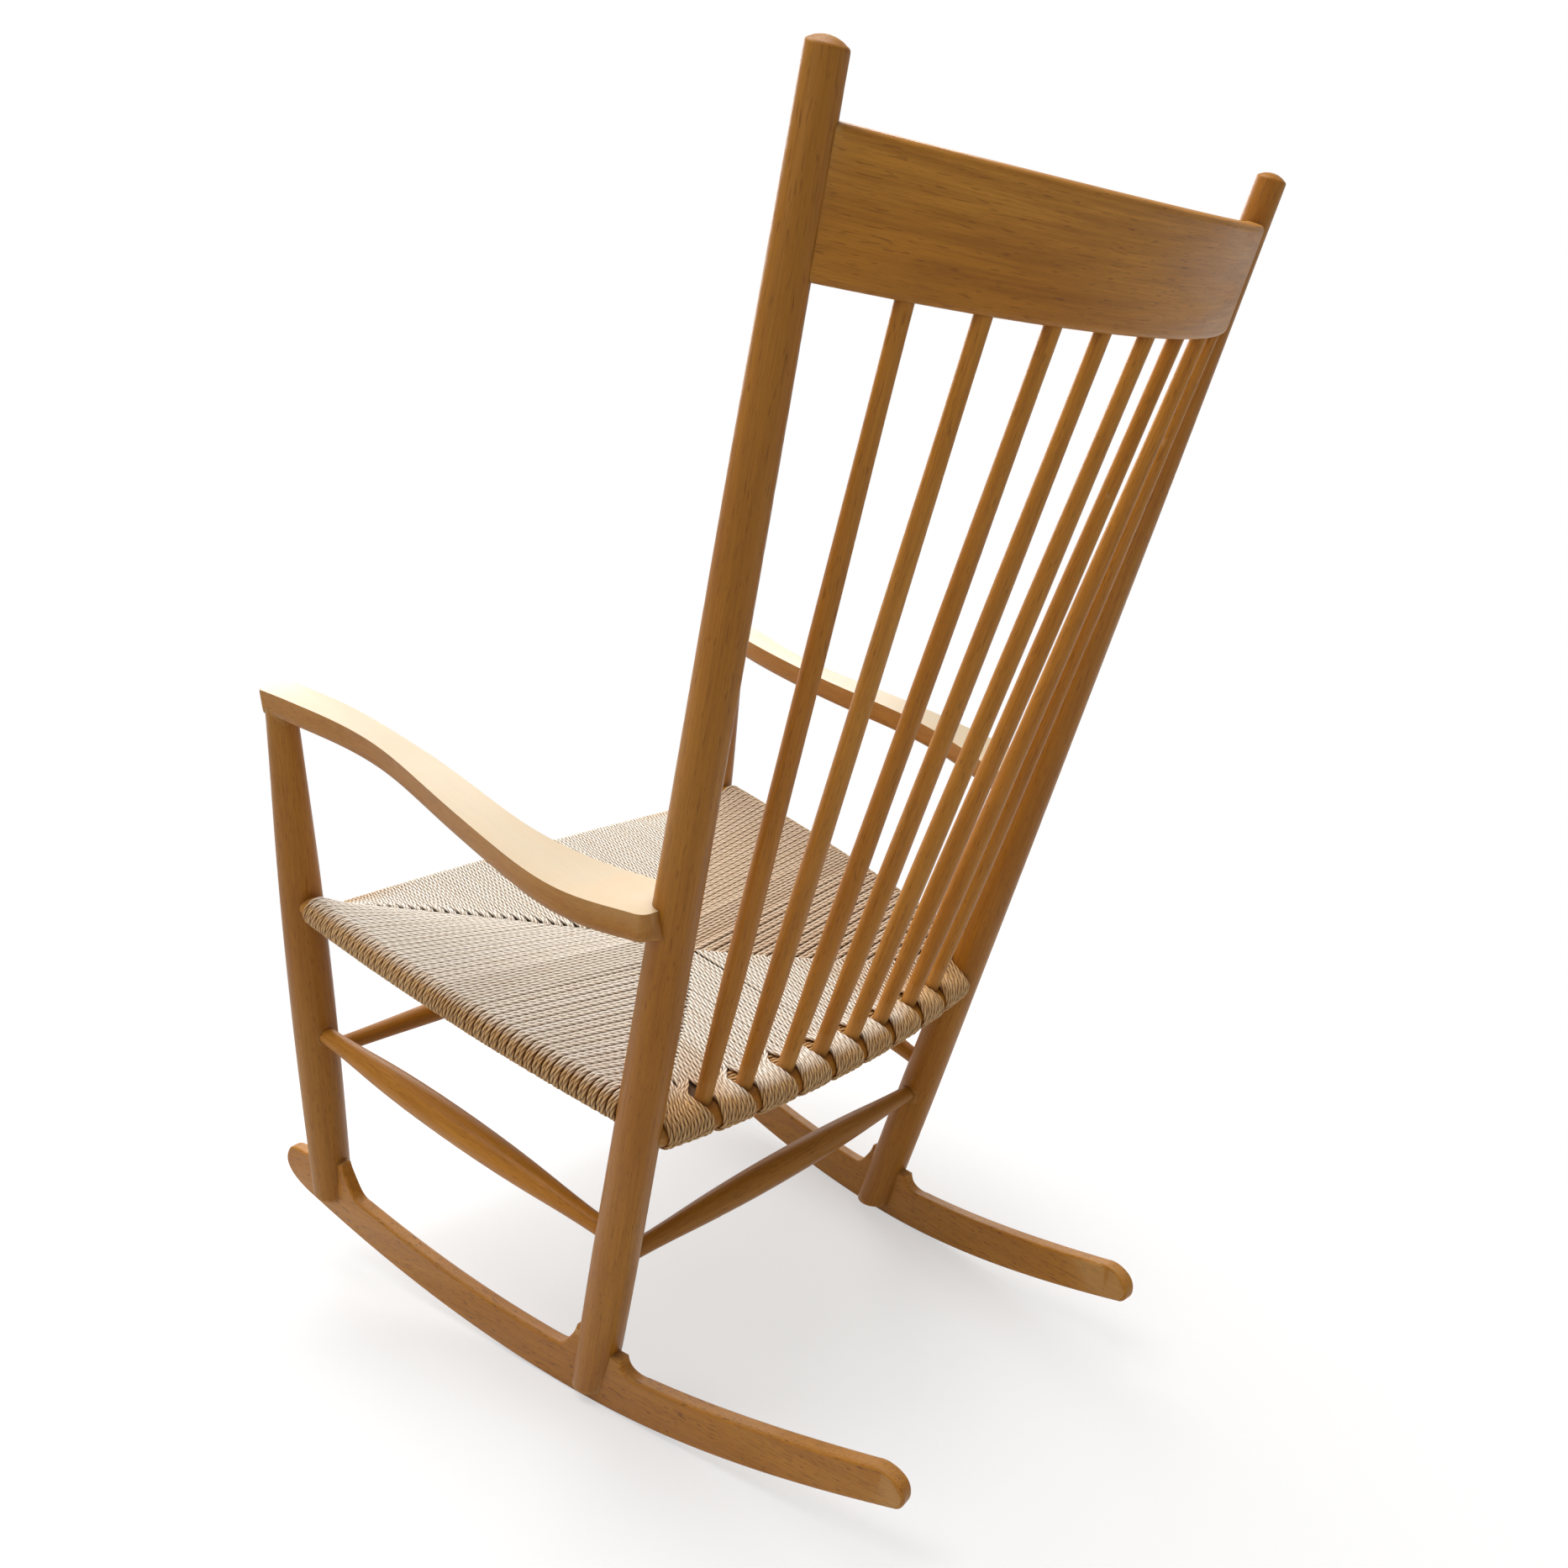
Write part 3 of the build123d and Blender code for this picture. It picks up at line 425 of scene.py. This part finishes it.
# Where the cords of the front and back cross those of the sides, from the middle outwards.
FRONT_DIAGONAL = np.array(
    [
        (0, -98),
        (30, -128),
        (57, -154),
        (80, -177),
        (104, -200),
        (142, -233),
        (178, -262),
        (209, -283),
        (262, -305),
    ],
    float,
)
REAR_DIAGONAL = np.array(
    [(0, -56), (22, -33), (58, 5), (96, 41), (135, 77), (157, 97), (203, 122)],
    float,
)
FRONT_LIFT, REAR_LIFT = 14.0, 12.0  # how far the diagonals rise towards the corners
LIFT_REACH = 250.0  # the place across the seat at which they have risen that far
SAG, SAG_REACH = 3.5, 230.0  # the dip in the middle, and where it ends
MIDDLE_FRONT, MIDDLE_HEIGHT = -323.0, 444.4  # the front rail's top, in the middle
MIDDLE_FALL = 0.1898  # height lost per millimetre from there to the rear

# How the cords lie where two layers meet: up or down, and past the diagonal or short of it.
OVER_UP, OVER_PAST = 1.1, 1.5
UNDER_DOWN, UNDER_SHORT = 1.6, 2.6
LAYERS_APART = 16.0  # the upper layer over the lower one, at the diagonal
LOOP_DIVE = 2.4  # how far a cord runs on as it goes down between the others
LOOP_TURN, LOOP_DROP = 1.6, 7.0  # how far down it is halfway and at the end of that
LOOP_RISE = 6.0  # how far it comes up again from the lower layer
LOOP_POINTS = 15  # given points round a rail
WIDEN_FROM, WIDEN_OVER = 1.45, 0.9  # the angles round the rail over which a cord moves sideways
UNEVEN = 0.12  # how far the ends stray

FRONT_CORDS, FRONT_CORD_REACH = 116, 250.0
FRONT_PINCH, FRONT_PINCH_LENGTH = 1.2, 18.0  # cords go down in pairs in front
REAR_CORD_REACH, REAR_CORD_SPREAD = 203.0, 201.0
REAR_PITCH = 3.95
SPINDLES = (21.9, 65.0, 113.0, 156.0)  # places of the spindles along the rear rail
SPINDLE_GAP, FACE_GAP = 9.0, 6.0  # from a spindle to the nearest cord, on top and on the rear face
# How the rear cords close the pits ahead of the spindles: distance from the rail, and how far
# each cord has moved from its place on the rail towards its place in an even spread.
PIT_SHAPE = ((38.0, 1.0), (28.0, 0.88), (19.0, 0.05), (9.0, -0.12))
SHORTEST_PITTED = 40.0  # shorter cords than this run straight
PIT_CORDS = ((14.0, 3.4), (18.2, 2.9), (22.4, 3.3), (26.6, 2.8))  # ahead of the rail, below its top

# Painted light: the cords are painted lighter on top. It fades out between these heights below a rail's
# top.
SIDE_FADE = (-1.5, 4.0)
FRONT_FADE = (6.0, 14.0)
FAR_SIDE_TOP_LIGHT = 0.45  # the far side of the seat gets less painted light on top

# Painted light and shade: lit cream on top, tan round the rails.
CREAM = ((0.95, 0.88, 0.76), (0.98, 0.94, 0.86))
TAN = ((0.70, 0.40, 0.15), (0.80, 0.51, 0.23))
# Painted shade in the grooves between the plies, on the lit tops and round the rails.
CREAM_GROOVE_SHADE, TAN_GROOVE_SHADE = (0.33, 0.23, 0.14), (0.17, 0.075, 0.025)
CORD_STAIN = (0.60, 0.42, 0.24)
CORD_FIBRE = (0.45, 0.30, 0.16)
# Painted shade in the narrow gaps between cords.
CORD_GAP_SHADE = (0.22, 0.11, 0.04)
# Paper padding, coloured very dark as painted shade inside the seat.
PADDING_IN_SHADE = ((0.08, 0.04, 0.016), (0.14, 0.075, 0.035))

rng = np.random.default_rng(7)


def unit(vector):
    return vector / np.linalg.norm(vector)


def arc_out(offset, half, bow):
    """How far a shallow arc stands out from its chord."""
    radius = (half**2 + bow**2) / (2 * bow)
    return math.sqrt(radius**2 - offset**2) - (radius - bow)


def side_rail(y):
    """A point on the left rail's centre line, and the way to the rear along it."""
    share = (y - SIDE_REAR[1]) / (SIDE_FRONT[1] - SIDE_REAR[1])
    centre = SIDE_REAR + (SIDE_FRONT - SIDE_REAR) * share
    half = np.linalg.norm(SIDE_FRONT - SIDE_REAR) / 2
    centre = centre + SEAT_LEFT * arc_out((share - 0.5) * 2 * half, half, SIDE_BOW)
    return centre, unit(SIDE_REAR - SIDE_FRONT)


def front_rail(x):
    centre = np.array((x, FRONT_END[1], FRONT_END[2]))
    return centre - SEAT_BACK * arc_out(x, FRONT_END[0], FRONT_BOW)


def rear_rail(x):
    centre = np.array((x, REAR_END[1], REAR_END[2]))
    return centre + SEAT_BACK * arc_out(x, REAR_END[0], REAR_BOW)


def level_line(y):
    """Height of a straight cord over the middle, from the front rail's top to the rear's."""
    return MIDDLE_HEIGHT - MIDDLE_FALL * (y - MIDDLE_FRONT)


def meeting(x, diagonal, lift):
    """Where the cord at x from the front or back goes under, on the diagonal."""
    y = np.interp(abs(x), diagonal[:, 0], diagonal[:, 1])
    sag = SAG * math.cos(min(abs(x) / SAG_REACH, 1.0) * math.pi / 2)
    return np.array((x, y, level_line(y) + lift * (abs(x) / LIFT_REACH) ** 2 - sag))


def meeting_at(y):
    """Where the side cord at y goes under, on the left half."""
    if y < FRONT_DIAGONAL[0, 1]:
        x = np.interp(-y, -FRONT_DIAGONAL[:, 1], FRONT_DIAGONAL[:, 0])
        height = meeting(x, FRONT_DIAGONAL, FRONT_LIFT)[2]
    elif y > REAR_DIAGONAL[0, 1]:
        x = np.interp(y, REAR_DIAGONAL[:, 1], REAR_DIAGONAL[:, 0])
        height = meeting(x, REAR_DIAGONAL, REAR_LIFT)[2]
    else:
        x = 0.0
        height = level_line(y) - SAG
    return np.array((x, y, height))


def ellipse_point(centre, out, up, size, angle):
    return centre + out * size[0] * math.cos(angle) + up * size[1] * math.sin(angle)


def touch(centre, out, up, size, point, sign):
    """Angle at which a taut line from the point meets an oval rail, above (1) or below (-1)."""
    a = (point - centre) @ out / size[0]
    b = (point - centre) @ up / size[1]
    aim = math.atan2(b, a) % (2 * math.pi)
    return aim - sign * math.acos(1 / max(math.hypot(a, b), 1.001))


def landing_point(centre, out, size, above):
    """Where a cord that comes from above its diagonal lands on the rail."""
    angle = touch(centre, out, SEAT_UP, size, above, 1)
    return ellipse_point(centre, out, SEAT_UP, size, angle)


def half_loop(centre, out, up, size, above, below, bend=(), widen=0.0):
    """One cord: down at the diagonal, over the rail, round it and back underneath.

    widen moves it sideways as it goes down the rail's outer face.
    """
    start = touch(centre, out, up, size, above, 1)
    end = touch(centre, out, up, size, below, -1) - 2 * math.pi
    inward = unit(ellipse_point(centre, out, up, size, start) - above)
    points = [
        above - inward * LOOP_DIVE - SEAT_UP * LOOP_DROP,
        above - inward * LOOP_DIVE * 0.5 - SEAT_UP * LOOP_TURN,
        above + inward * 1.5,
        *bend,
    ]
    for angle in np.linspace(start, end, LOOP_POINTS):
        share = min(max((WIDEN_FROM - angle) / WIDEN_OVER, 0.0), 1.0)
        shift = SEAT_LEFT * widen * share * share * (3 - 2 * share)
        points.append(ellipse_point(centre, out, up, size, angle) + shift)
    points += [below, below + SEAT_UP * LOOP_RISE]
    return points


def smooth_path(points):
    """Evenly spaced points on a smooth curve through the given ones, straight on long runs."""
    closest, long_run = 0.3, 12.0
    points = np.array(points)
    gaps = np.linalg.norm(np.diff(points, axis=0), axis=1)
    points = points[np.concatenate(([True], gaps > closest))]
    gaps = np.linalg.norm(np.diff(points, axis=0), axis=1)
    run = np.concatenate(([0.0], np.cumsum(gaps)))
    count = max(int(run[-1] / STEP), 8)
    where = np.linspace(0, run[-1], count)
    tangents = np.gradient(points, run, axis=0)
    chords = np.diff(points, axis=0) / gaps[:, None]
    for k in range(1, len(points) - 1):
        if max(gaps[k - 1], gaps[k]) > long_run:
            tangents[k] = chords[k - 1] if gaps[k - 1] > gaps[k] else chords[k]
    cell = np.clip(np.searchsorted(run, where, side="right") - 1, 0, len(gaps) - 1)
    t = ((where - run[cell]) / gaps[cell])[:, None]
    span = gaps[cell][:, None]
    from_start = (2 * t**3 - 3 * t**2 + 1) * points[cell]
    leaving = (t**3 - 2 * t**2 + t) * span * tangents[cell]
    to_end = (-2 * t**3 + 3 * t**2) * points[cell + 1]
    arriving = (t**3 - t**2) * span * tangents[cell + 1]
    return from_start + leaving + to_end + arriving


def carried_along(path):
    """Two directions across the path at each point, which don't turn about it."""
    tangent = np.gradient(path, axis=0)
    tangent /= np.linalg.norm(tangent, axis=1)[:, None]
    side = np.zeros_like(path)
    last = unit(np.cross(tangent[0], (0.3, 0.5, 0.8)))
    for k in range(len(path)):
        last = unit(last - tangent[k] * (last @ tangent[k]))
        side[k] = last
    return side, np.cross(tangent, side)


def top_lighting(path, fade):
    """How much painted light each point gets: full up to the rail's top, and less and less beyond it."""
    height = path @ SEAT_UP
    crest = int(np.argmax(height))
    reach = np.clip((height - height[crest] + fade[1]) / (fade[1] - fade[0]), 0, 1)
    reach[:crest] = 1.0
    return reach


class Cords:
    """Collects twisted cords into one mesh with its shading attributes."""

    def __init__(self):
        self.places, self.faces = [], []
        self.labels = {"groove": [], "tone": [], "run": [], "top": []}
        self.count = 0

    def add(self, points, mirror=False, thick=1.0, fade=SIDE_FADE):
        """Adds a cord through the points. One without a fade gets no painted light on top."""
        path = smooth_path(points)
        top = np.zeros(len(path)) if fade is None else top_lighting(path, fade)
        if mirror:
            path = path * np.array((-1.0, 1.0, 1.0))
            top = top * FAR_SIDE_TOP_LIGHT
        side, other = carried_along(path)
        run = np.arange(len(path)) * STEP
        angle = np.linspace(0, 2 * math.pi, RING, endpoint=False)
        lobes = np.abs(((angle * PLIES / (2 * math.pi)) % 1.0) - 0.5) * 2
        radius = CORD * thick * (1 - PLY_DEPTH + PLY_DEPTH * np.sqrt(lobes)) * (1 + rng.normal(0, 0.015))
        spin = rng.uniform(0, 2 * math.pi) + 2 * math.pi * run / LAY * rng.normal(1, 0.03)
        theta = angle[None, :] + spin[:, None]
        ring = (
            path[:, None, :]
            + radius[None, :, None] * np.cos(theta)[:, :, None] * side[:, None, :]
            + radius[None, :, None] * np.sin(theta)[:, :, None] * other[:, None, :]
        )
        self.places.append(ring.reshape(-1, 3))
        self.join_rings(len(path))
        self.labels["groove"].append(np.tile(1 - lobes, len(path)))
        self.labels["tone"].append(np.full(len(path) * RING, rng.uniform(0, 1)))
        self.labels["run"].append(np.repeat(run + rng.uniform(0, 500), RING))
        self.labels["top"].append(np.repeat(top, RING))

    def join_rings(self, rings):
        """Four-sided faces between each of the last rings and the next."""
        first = self.count + np.arange(rings - 1)[:, None] * RING
        j = np.arange(RING)[None, :]
        beside = (j + 1) % RING
        quads = (first + j, first + beside, first + RING + beside, first + RING + j)
        self.faces.append(np.stack(quads, axis=-1).reshape(-1, 4))
        self.count += rings * RING

    def build(self, name):
        places = np.concatenate(self.places)
        places[:, 1] += AHEAD
        places *= MM
        faces = np.concatenate(self.faces)
        mesh = bpy.data.meshes.new(name)
        mesh.vertices.add(len(places))
        mesh.vertices.foreach_set("co", places.astype(np.float32).ravel())
        mesh.loops.add(faces.size)
        mesh.loops.foreach_set("vertex_index", faces.astype(np.int32).ravel())
        mesh.polygons.add(len(faces))
        mesh.polygons.foreach_set("loop_start", np.arange(0, faces.size, 4, dtype=np.int32))
        mesh.polygons.foreach_set("use_smooth", np.ones(len(faces), bool))
        mesh.update(calc_edges=True)
        for label, values in self.labels.items():
            attribute = mesh.attributes.new(label, "FLOAT", "POINT")
            attribute.data.foreach_set("value", np.concatenate(values).astype(np.float32))
        made = bpy.data.objects.new(name, mesh)
        scene.collection.objects.link(made)
        return made


def in_pairs(places, shift):
    """Moves every second place one way and the others the other way."""
    return places + shift * np.where(np.arange(len(places)) % 2, 1.0, -1.0)


def side_positions():
    """Where the side cords lie along the side rail: front part, centre seam, rear part."""
    front = in_pairs(np.linspace(-289.0, -101.0, 45), 0.4)
    seam = np.linspace(-96.8, -59.0, 9)
    rear = in_pairs(np.linspace(-54.0, 119.0, 35), 0.45)
    return np.concatenate((front, seam, rear))


def rear_positions():
    """Where each back cord lies: on the diagonal, on the rail's top and on its rear face."""
    edges = [(-REAR_CORD_REACH, -REAR_CORD_REACH)]
    for spindle in sorted([-s for s in SPINDLES] + list(SPINDLES)):
        edges.append((spindle - SPINDLE_GAP, spindle - FACE_GAP))
        edges.append((spindle + SPINDLE_GAP, spindle + FACE_GAP))
    edges.append((REAR_CORD_REACH, REAR_CORD_REACH))
    at_top, at_face = [], []
    for (low, low_face), (high, high_face) in zip(edges[::2], edges[1::2]):
        count = int(round((high_face - low_face) / REAR_PITCH)) + 1
        at_top += list(np.linspace(low, high, count))
        at_face += list(np.linspace(low_face, high_face, count))
    spread = np.linspace(-REAR_CORD_SPREAD, REAR_CORD_SPREAD, len(at_top))
    return list(zip(spread, at_top, at_face))


def weave_sides(cords):
    rear_thickness = 1.14
    seam_short = 1.6
    for y in side_positions():
        centre, along = side_rail(y)
        out = unit(SEAT_LEFT - along * (SEAT_LEFT @ along))
        up = np.cross(along, out)
        up = up if up[2] > 0 else -up
        front, rear = y < FRONT_DIAGONAL[0, 1], y > REAR_DIAGONAL[0, 1]
        for mirror in (False, True):
            above = meeting_at(y) + rng.normal(0, UNEVEN, 3)
            if rear and mirror:
                above = above + SEAT_UP * OVER_UP - SEAT_LEFT * OVER_PAST
            elif front or rear:
                above = above - SEAT_UP * UNDER_DOWN + SEAT_LEFT * UNDER_SHORT
            else:
                above = above + SEAT_LEFT * seam_short
            below = np.array((above[0], y, above[2] - LAYERS_APART))
            path = half_loop(centre, out, up, SIDE_WRAP, above, below)
            cords.add(path, mirror, rear_thickness if rear else 1.0)


def weave_front(cords):
    """The front cords go over those of both sides, which leaves dark wedges between the pairs."""
    for number, x in enumerate(np.linspace(-FRONT_CORD_REACH, FRONT_CORD_REACH, FRONT_CORDS)):
        centre = front_rail(x)
        above = meeting(x, FRONT_DIAGONAL, FRONT_LIFT) + rng.normal(0, 0.1, 3)
        above = above + SEAT_UP * 1.3 + SEAT_BACK * 2.0
        below = above - SEAT_UP * LAYERS_APART
        landing = landing_point(centre, -SEAT_BACK, FRONT_WRAP, above)
        length = np.linalg.norm(landing - above)
        bend = [above + (landing - above) * min(FRONT_PINCH_LENGTH / length, 0.5)]
        above[0] += FRONT_PINCH if number % 2 else -FRONT_PINCH
        path = half_loop(centre, -SEAT_BACK, SEAT_UP, FRONT_WRAP, above, below, bend)
        cords.add(path, fade=FRONT_FADE)


def weave_rear(cords):
    """The rear cords are spread evenly over the seat and gathered between the spindles."""
    thickness = 1.08
    for number, (spread, x, face) in enumerate(rear_positions()):
        lift = 0.9 if number % 2 else 0.0
        size = (REAR_WRAP[0] + lift * 0.4, REAR_WRAP[1] + lift * 0.6)
        centre = rear_rail(x)
        above = meeting(spread, REAR_DIAGONAL, REAR_LIFT) + rng.normal(0, UNEVEN, 3)
        if spread < 0.0:
            above = above + SEAT_UP * OVER_UP - SEAT_BACK * OVER_PAST
        else:
            above = above - SEAT_UP * UNDER_DOWN + SEAT_BACK * UNDER_SHORT
        below = above - SEAT_UP * LAYERS_APART
        landing = landing_point(centre, SEAT_BACK, size, above)
        length = np.linalg.norm(landing - above)
        bend = []
        for reach, share in PIT_SHAPE if length > SHORTEST_PITTED else ():
            hold = landing + (above - landing) * (reach / length)
            hold[0] = x + (spread - x) * share
            bend.append(hold)
        path = half_loop(centre, SEAT_BACK, SEAT_UP, size, above, below, bend, face - x)
        cords.add(path, thick=thickness)


def weave_pits(cords):
    """The last side cords, which show in the pits ahead of the spindles."""
    for ahead, drop in PIT_CORDS:
        points = []
        for x in np.linspace(-196.0, 196.0, 41):
            point = rear_rail(x) + SEAT_UP * (REAR_WRAP[1] - drop - CORD)
            points.append(point - SEAT_BACK * ahead + SEAT_UP * rng.normal(0, 0.25))
        cords.add(points, fade=None)


def surface_height(x, y):
    """Height of the upper layer of cord over a place inside the rails."""
    front = np.interp(abs(x), FRONT_DIAGONAL[:, 0], FRONT_DIAGONAL[:, 1])
    rear = np.interp(abs(x), REAR_DIAGONAL[:, 0], REAR_DIAGONAL[:, 1])
    if y < front:
        end, rail = meeting(x, FRONT_DIAGONAL, FRONT_LIFT), front_rail(x) + SEAT_UP * FRONT_WRAP[1]
        share = (y - rail[1]) / (end[1] - rail[1])
    elif y > rear:
        end, rail = meeting(x, REAR_DIAGONAL, REAR_LIFT), rear_rail(x) + SEAT_UP * REAR_WRAP[1]
        share = (y - rail[1]) / (end[1] - rail[1])
    else:
        end, rail = meeting_at(y), side_rail(y)[0] + SEAT_UP * SIDE_WRAP[1]
        share = (abs(x) - rail[0]) / (end[0] - rail[0])
    return rail[2] + (end[2] - rail[2]) * min(max(share, 0.0), 1.0)


def padding_place(across, along):
    """A point of the padding, from shares of its width and length."""
    front, rear = -318.0, 132.0
    front_corner, front_cut = -285.0, 22.0
    rear_corner, rear_cut = 112.0, 30.0
    beside_rail, below_cords = 4.0, 1.2
    y = front + along * (rear - front)
    half = side_rail(y)[0][0] - beside_rail
    # the corners are cut back, where the posts stand
    half -= front_cut * max(0.0, (front_corner - y) / (front_corner - front))
    half -= rear_cut * max(0.0, (y - rear_corner) / (rear - rear_corner))
    x = (2 * across - 1) * half
    z = surface_height(x, y) - 2 * CORD - below_cords
    return x * MM, (y + AHEAD) * MM, z * MM


def padding_material():
    shader = Shader("brown_paper_in_shade")
    place = shader.node("TexCoord").outputs["Object"]
    color = shader.mix(shader.noise(place, 300.0, 3.0), *PADDING_IN_SHADE)
    return shader.surface(Base_Color=color, Roughness=0.9)


def add_padding():
    """The folded paper inside the seat, which closes it where cords leave a gap. Its very dark colour is
    painted shade.
    """
    count = 48
    shares = [number / (count - 1) for number in range(count)]
    places = [padding_place(across, along) for along in shares for across in shares]
    faces = []
    for row in range(count - 1):
        for column in range(count - 1):
            corner = row * count + column
            faces.append((corner, corner + 1, corner + count + 1, corner + count))
    mesh = bpy.data.meshes.new("seat_padding")
    mesh.from_pydata(places, [], faces)
    mesh.materials.append(padding_material())
    padding = bpy.data.objects.new("seat_padding", mesh)
    scene.collection.objects.link(padding)
    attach(padding, "root")


def cord_material():
    shader = Shader("paper_cord")
    tone = shader.attribute("tone")
    run = shader.attribute("run")
    top = shader.attribute("top")
    # Painted light: cream where the top is lit, tan round the rails.
    color = shader.mix(top, shader.mix(tone, *TAN), shader.mix(tone, *CREAM))
    stain = shader.noise(shader.join(shader.math("MULTIPLY", run, 0.03), tone, 0.0), 1.0, 3.0)
    color = shader.mix(shader.ramp(stain, 0.5, 0.8, 0.0, 0.25), color, CORD_STAIN)
    fibre = shader.noise(shader.node("TexCoord").outputs["Object"], 1400.0, 2.0, 0.7)
    color = shader.mix(shader.ramp(fibre, 0.45, 0.8, 0.0, 0.2), color, CORD_FIBRE)
    # Painted shade in the grooves between the plies.
    groove_shade = shader.mix(top, TAN_GROOVE_SHADE, CREAM_GROOVE_SHADE)
    color = shader.mix(shader.ramp(shader.attribute("groove"), 0.35, 0.8, 0.0, 0.82), color, groove_shade)
    # Painted shade: the gaps between cords are darkened by ambient occlusion.
    color = shader.mix(shader.occlusion_shade(0.005, 0.1, 0.6, 0.75), color, CORD_GAP_SHADE)
    return shader.surface(
        Base_Color=color,
        Roughness=0.6,
        Specular_IOR_Level=0.35,
        Sheen_Weight=0.15,
        Sheen_Roughness=0.4,
        Normal=shader.bump(fibre, 0.00008, 0.6),
    )


def weave_seat():
    cords = Cords()
    weave_sides(cords)
    weave_front(cords)
    weave_rear(cords)
    weave_pits(cords)
    seat = cords.build("seat_weave")
    seat.data.materials.append(cord_material())
    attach(seat, "root")
    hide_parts("seat_cord")


# ---------------------------------------------------------------- light and floor

FLOOR_GREY = (0.55, 0.56, 0.57)  # what the floor throws back onto the chair
WHITE = (1.0, 1.0, 1.0)
FLOOR_HALF = 60.0
FLOOR_FADE = (0.6, 1.2)  # metres from the middle, over which the seen floor turns plain white
FLOOR_GLOW = (0.5, 1.0)  # how white it is at the start and at the end of that
WORLD_LIGHT = 0.40


def floor_material():
    """White where it is seen, and keeping the chair's shadow. Grey to the light itself."""
    shader = Shader("floor")
    path = shader.node("LightPath")
    seen = shader.math("MAXIMUM", path.outputs["Is Camera Ray"], path.outputs["Is Glossy Ray"])
    seen = shader.math("MAXIMUM", seen, path.outputs["Is Transmission Ray"])
    away = shader.node("VectorMath", operation="LENGTH")
    shader.put(away.inputs[0], shader.node("TexCoord").outputs["Object"])
    far = shader.ramp(away.outputs["Value"], *FLOOR_FADE, *FLOOR_GLOW)
    matte = shader.node("BsdfDiffuse")
    shader.put(matte.inputs["Color"], shader.mix(seen, FLOOR_GREY, WHITE))
    glow = shader.node("Emission")
    glow.inputs["Strength"].default_value = 1.0
    mixed = shader.node("MixShader")
    shader.put(mixed.inputs["Fac"], shader.math("MULTIPLY", far, seen))
    shader.tree.links.new(matte.outputs[0], mixed.inputs[1])
    shader.tree.links.new(glow.outputs[0], mixed.inputs[2])
    out = shader.node("OutputMaterial")
    shader.tree.links.new(mixed.outputs[0], out.inputs["Surface"])
    return shader.material


def add_floor():
    mesh = bpy.data.meshes.new("floor")
    half = FLOOR_HALF
    corners = [(-half, -half, 0), (half, -half, 0), (half, half, 0), (-half, half, 0)]
    mesh.from_pydata(corners, [], [(0, 1, 2, 3)])
    mesh.materials.append(floor_material())
    floor = bpy.data.objects.new("floor", mesh)
    scene.collection.objects.link(floor)


def add_lamp(name, at, aim, size, power, color=WHITE):
    data = bpy.data.lights.new(name, "AREA")
    data.shape = "RECTANGLE"
    data.size, data.size_y = size
    data.energy = power
    data.color = color
    lamp = bpy.data.objects.new(name, data)
    lamp.location = at
    lamp.rotation_mode = "QUATERNION"
    lamp.rotation_quaternion = (Vector(aim) - Vector(at)).to_track_quat("-Z", "Y")
    lamp.visible_camera = False
    scene.collection.objects.link(lamp)


def plain_background(tree, strength):
    made = tree.nodes.new("ShaderNodeBackground")
    made.inputs["Color"].default_value = (*WHITE, 1.0)
    made.inputs["Strength"].default_value = strength
    return made.outputs[0]


def add_world():
    """A soft even light, seen as plain white."""
    world = bpy.data.worlds.new("world")
    world.use_nodes = True
    scene.world = world
    tree = world.node_tree
    tree.nodes.clear()
    path = tree.nodes.new("ShaderNodeLightPath")
    mixed = tree.nodes.new("ShaderNodeMixShader")
    tree.links.new(path.outputs["Is Camera Ray"], mixed.inputs["Fac"])
    tree.links.new(plain_background(tree, WORLD_LIGHT), mixed.inputs[1])
    tree.links.new(plain_background(tree, 1.0), mixed.inputs[2])
    out = tree.nodes.new("ShaderNodeOutputWorld")
    tree.links.new(mixed.outputs[0], out.inputs["Surface"])


def add_light():
    add_world()
    add_lamp("overhead", (0.3, -0.5, 3.4), (0, 0, 0.4), (2.6, 2.6), 90.0)
    add_lamp("far", (-1.7, -2.7, 2.0), (0, 0, 0.5), (3.2, 1.6), 72.0, (1.0, 0.98, 0.95))
    add_lamp("side", (3.3, 0.1, 1.5), (0, 0, 0.4), (2.4, 2.0), 11.0, (1.0, 0.96, 0.92))


# ---------------------------------------------------------------- assembly

add_camera()
add_light()
add_floor()
dress_wood()
weave_seat()
add_padding()
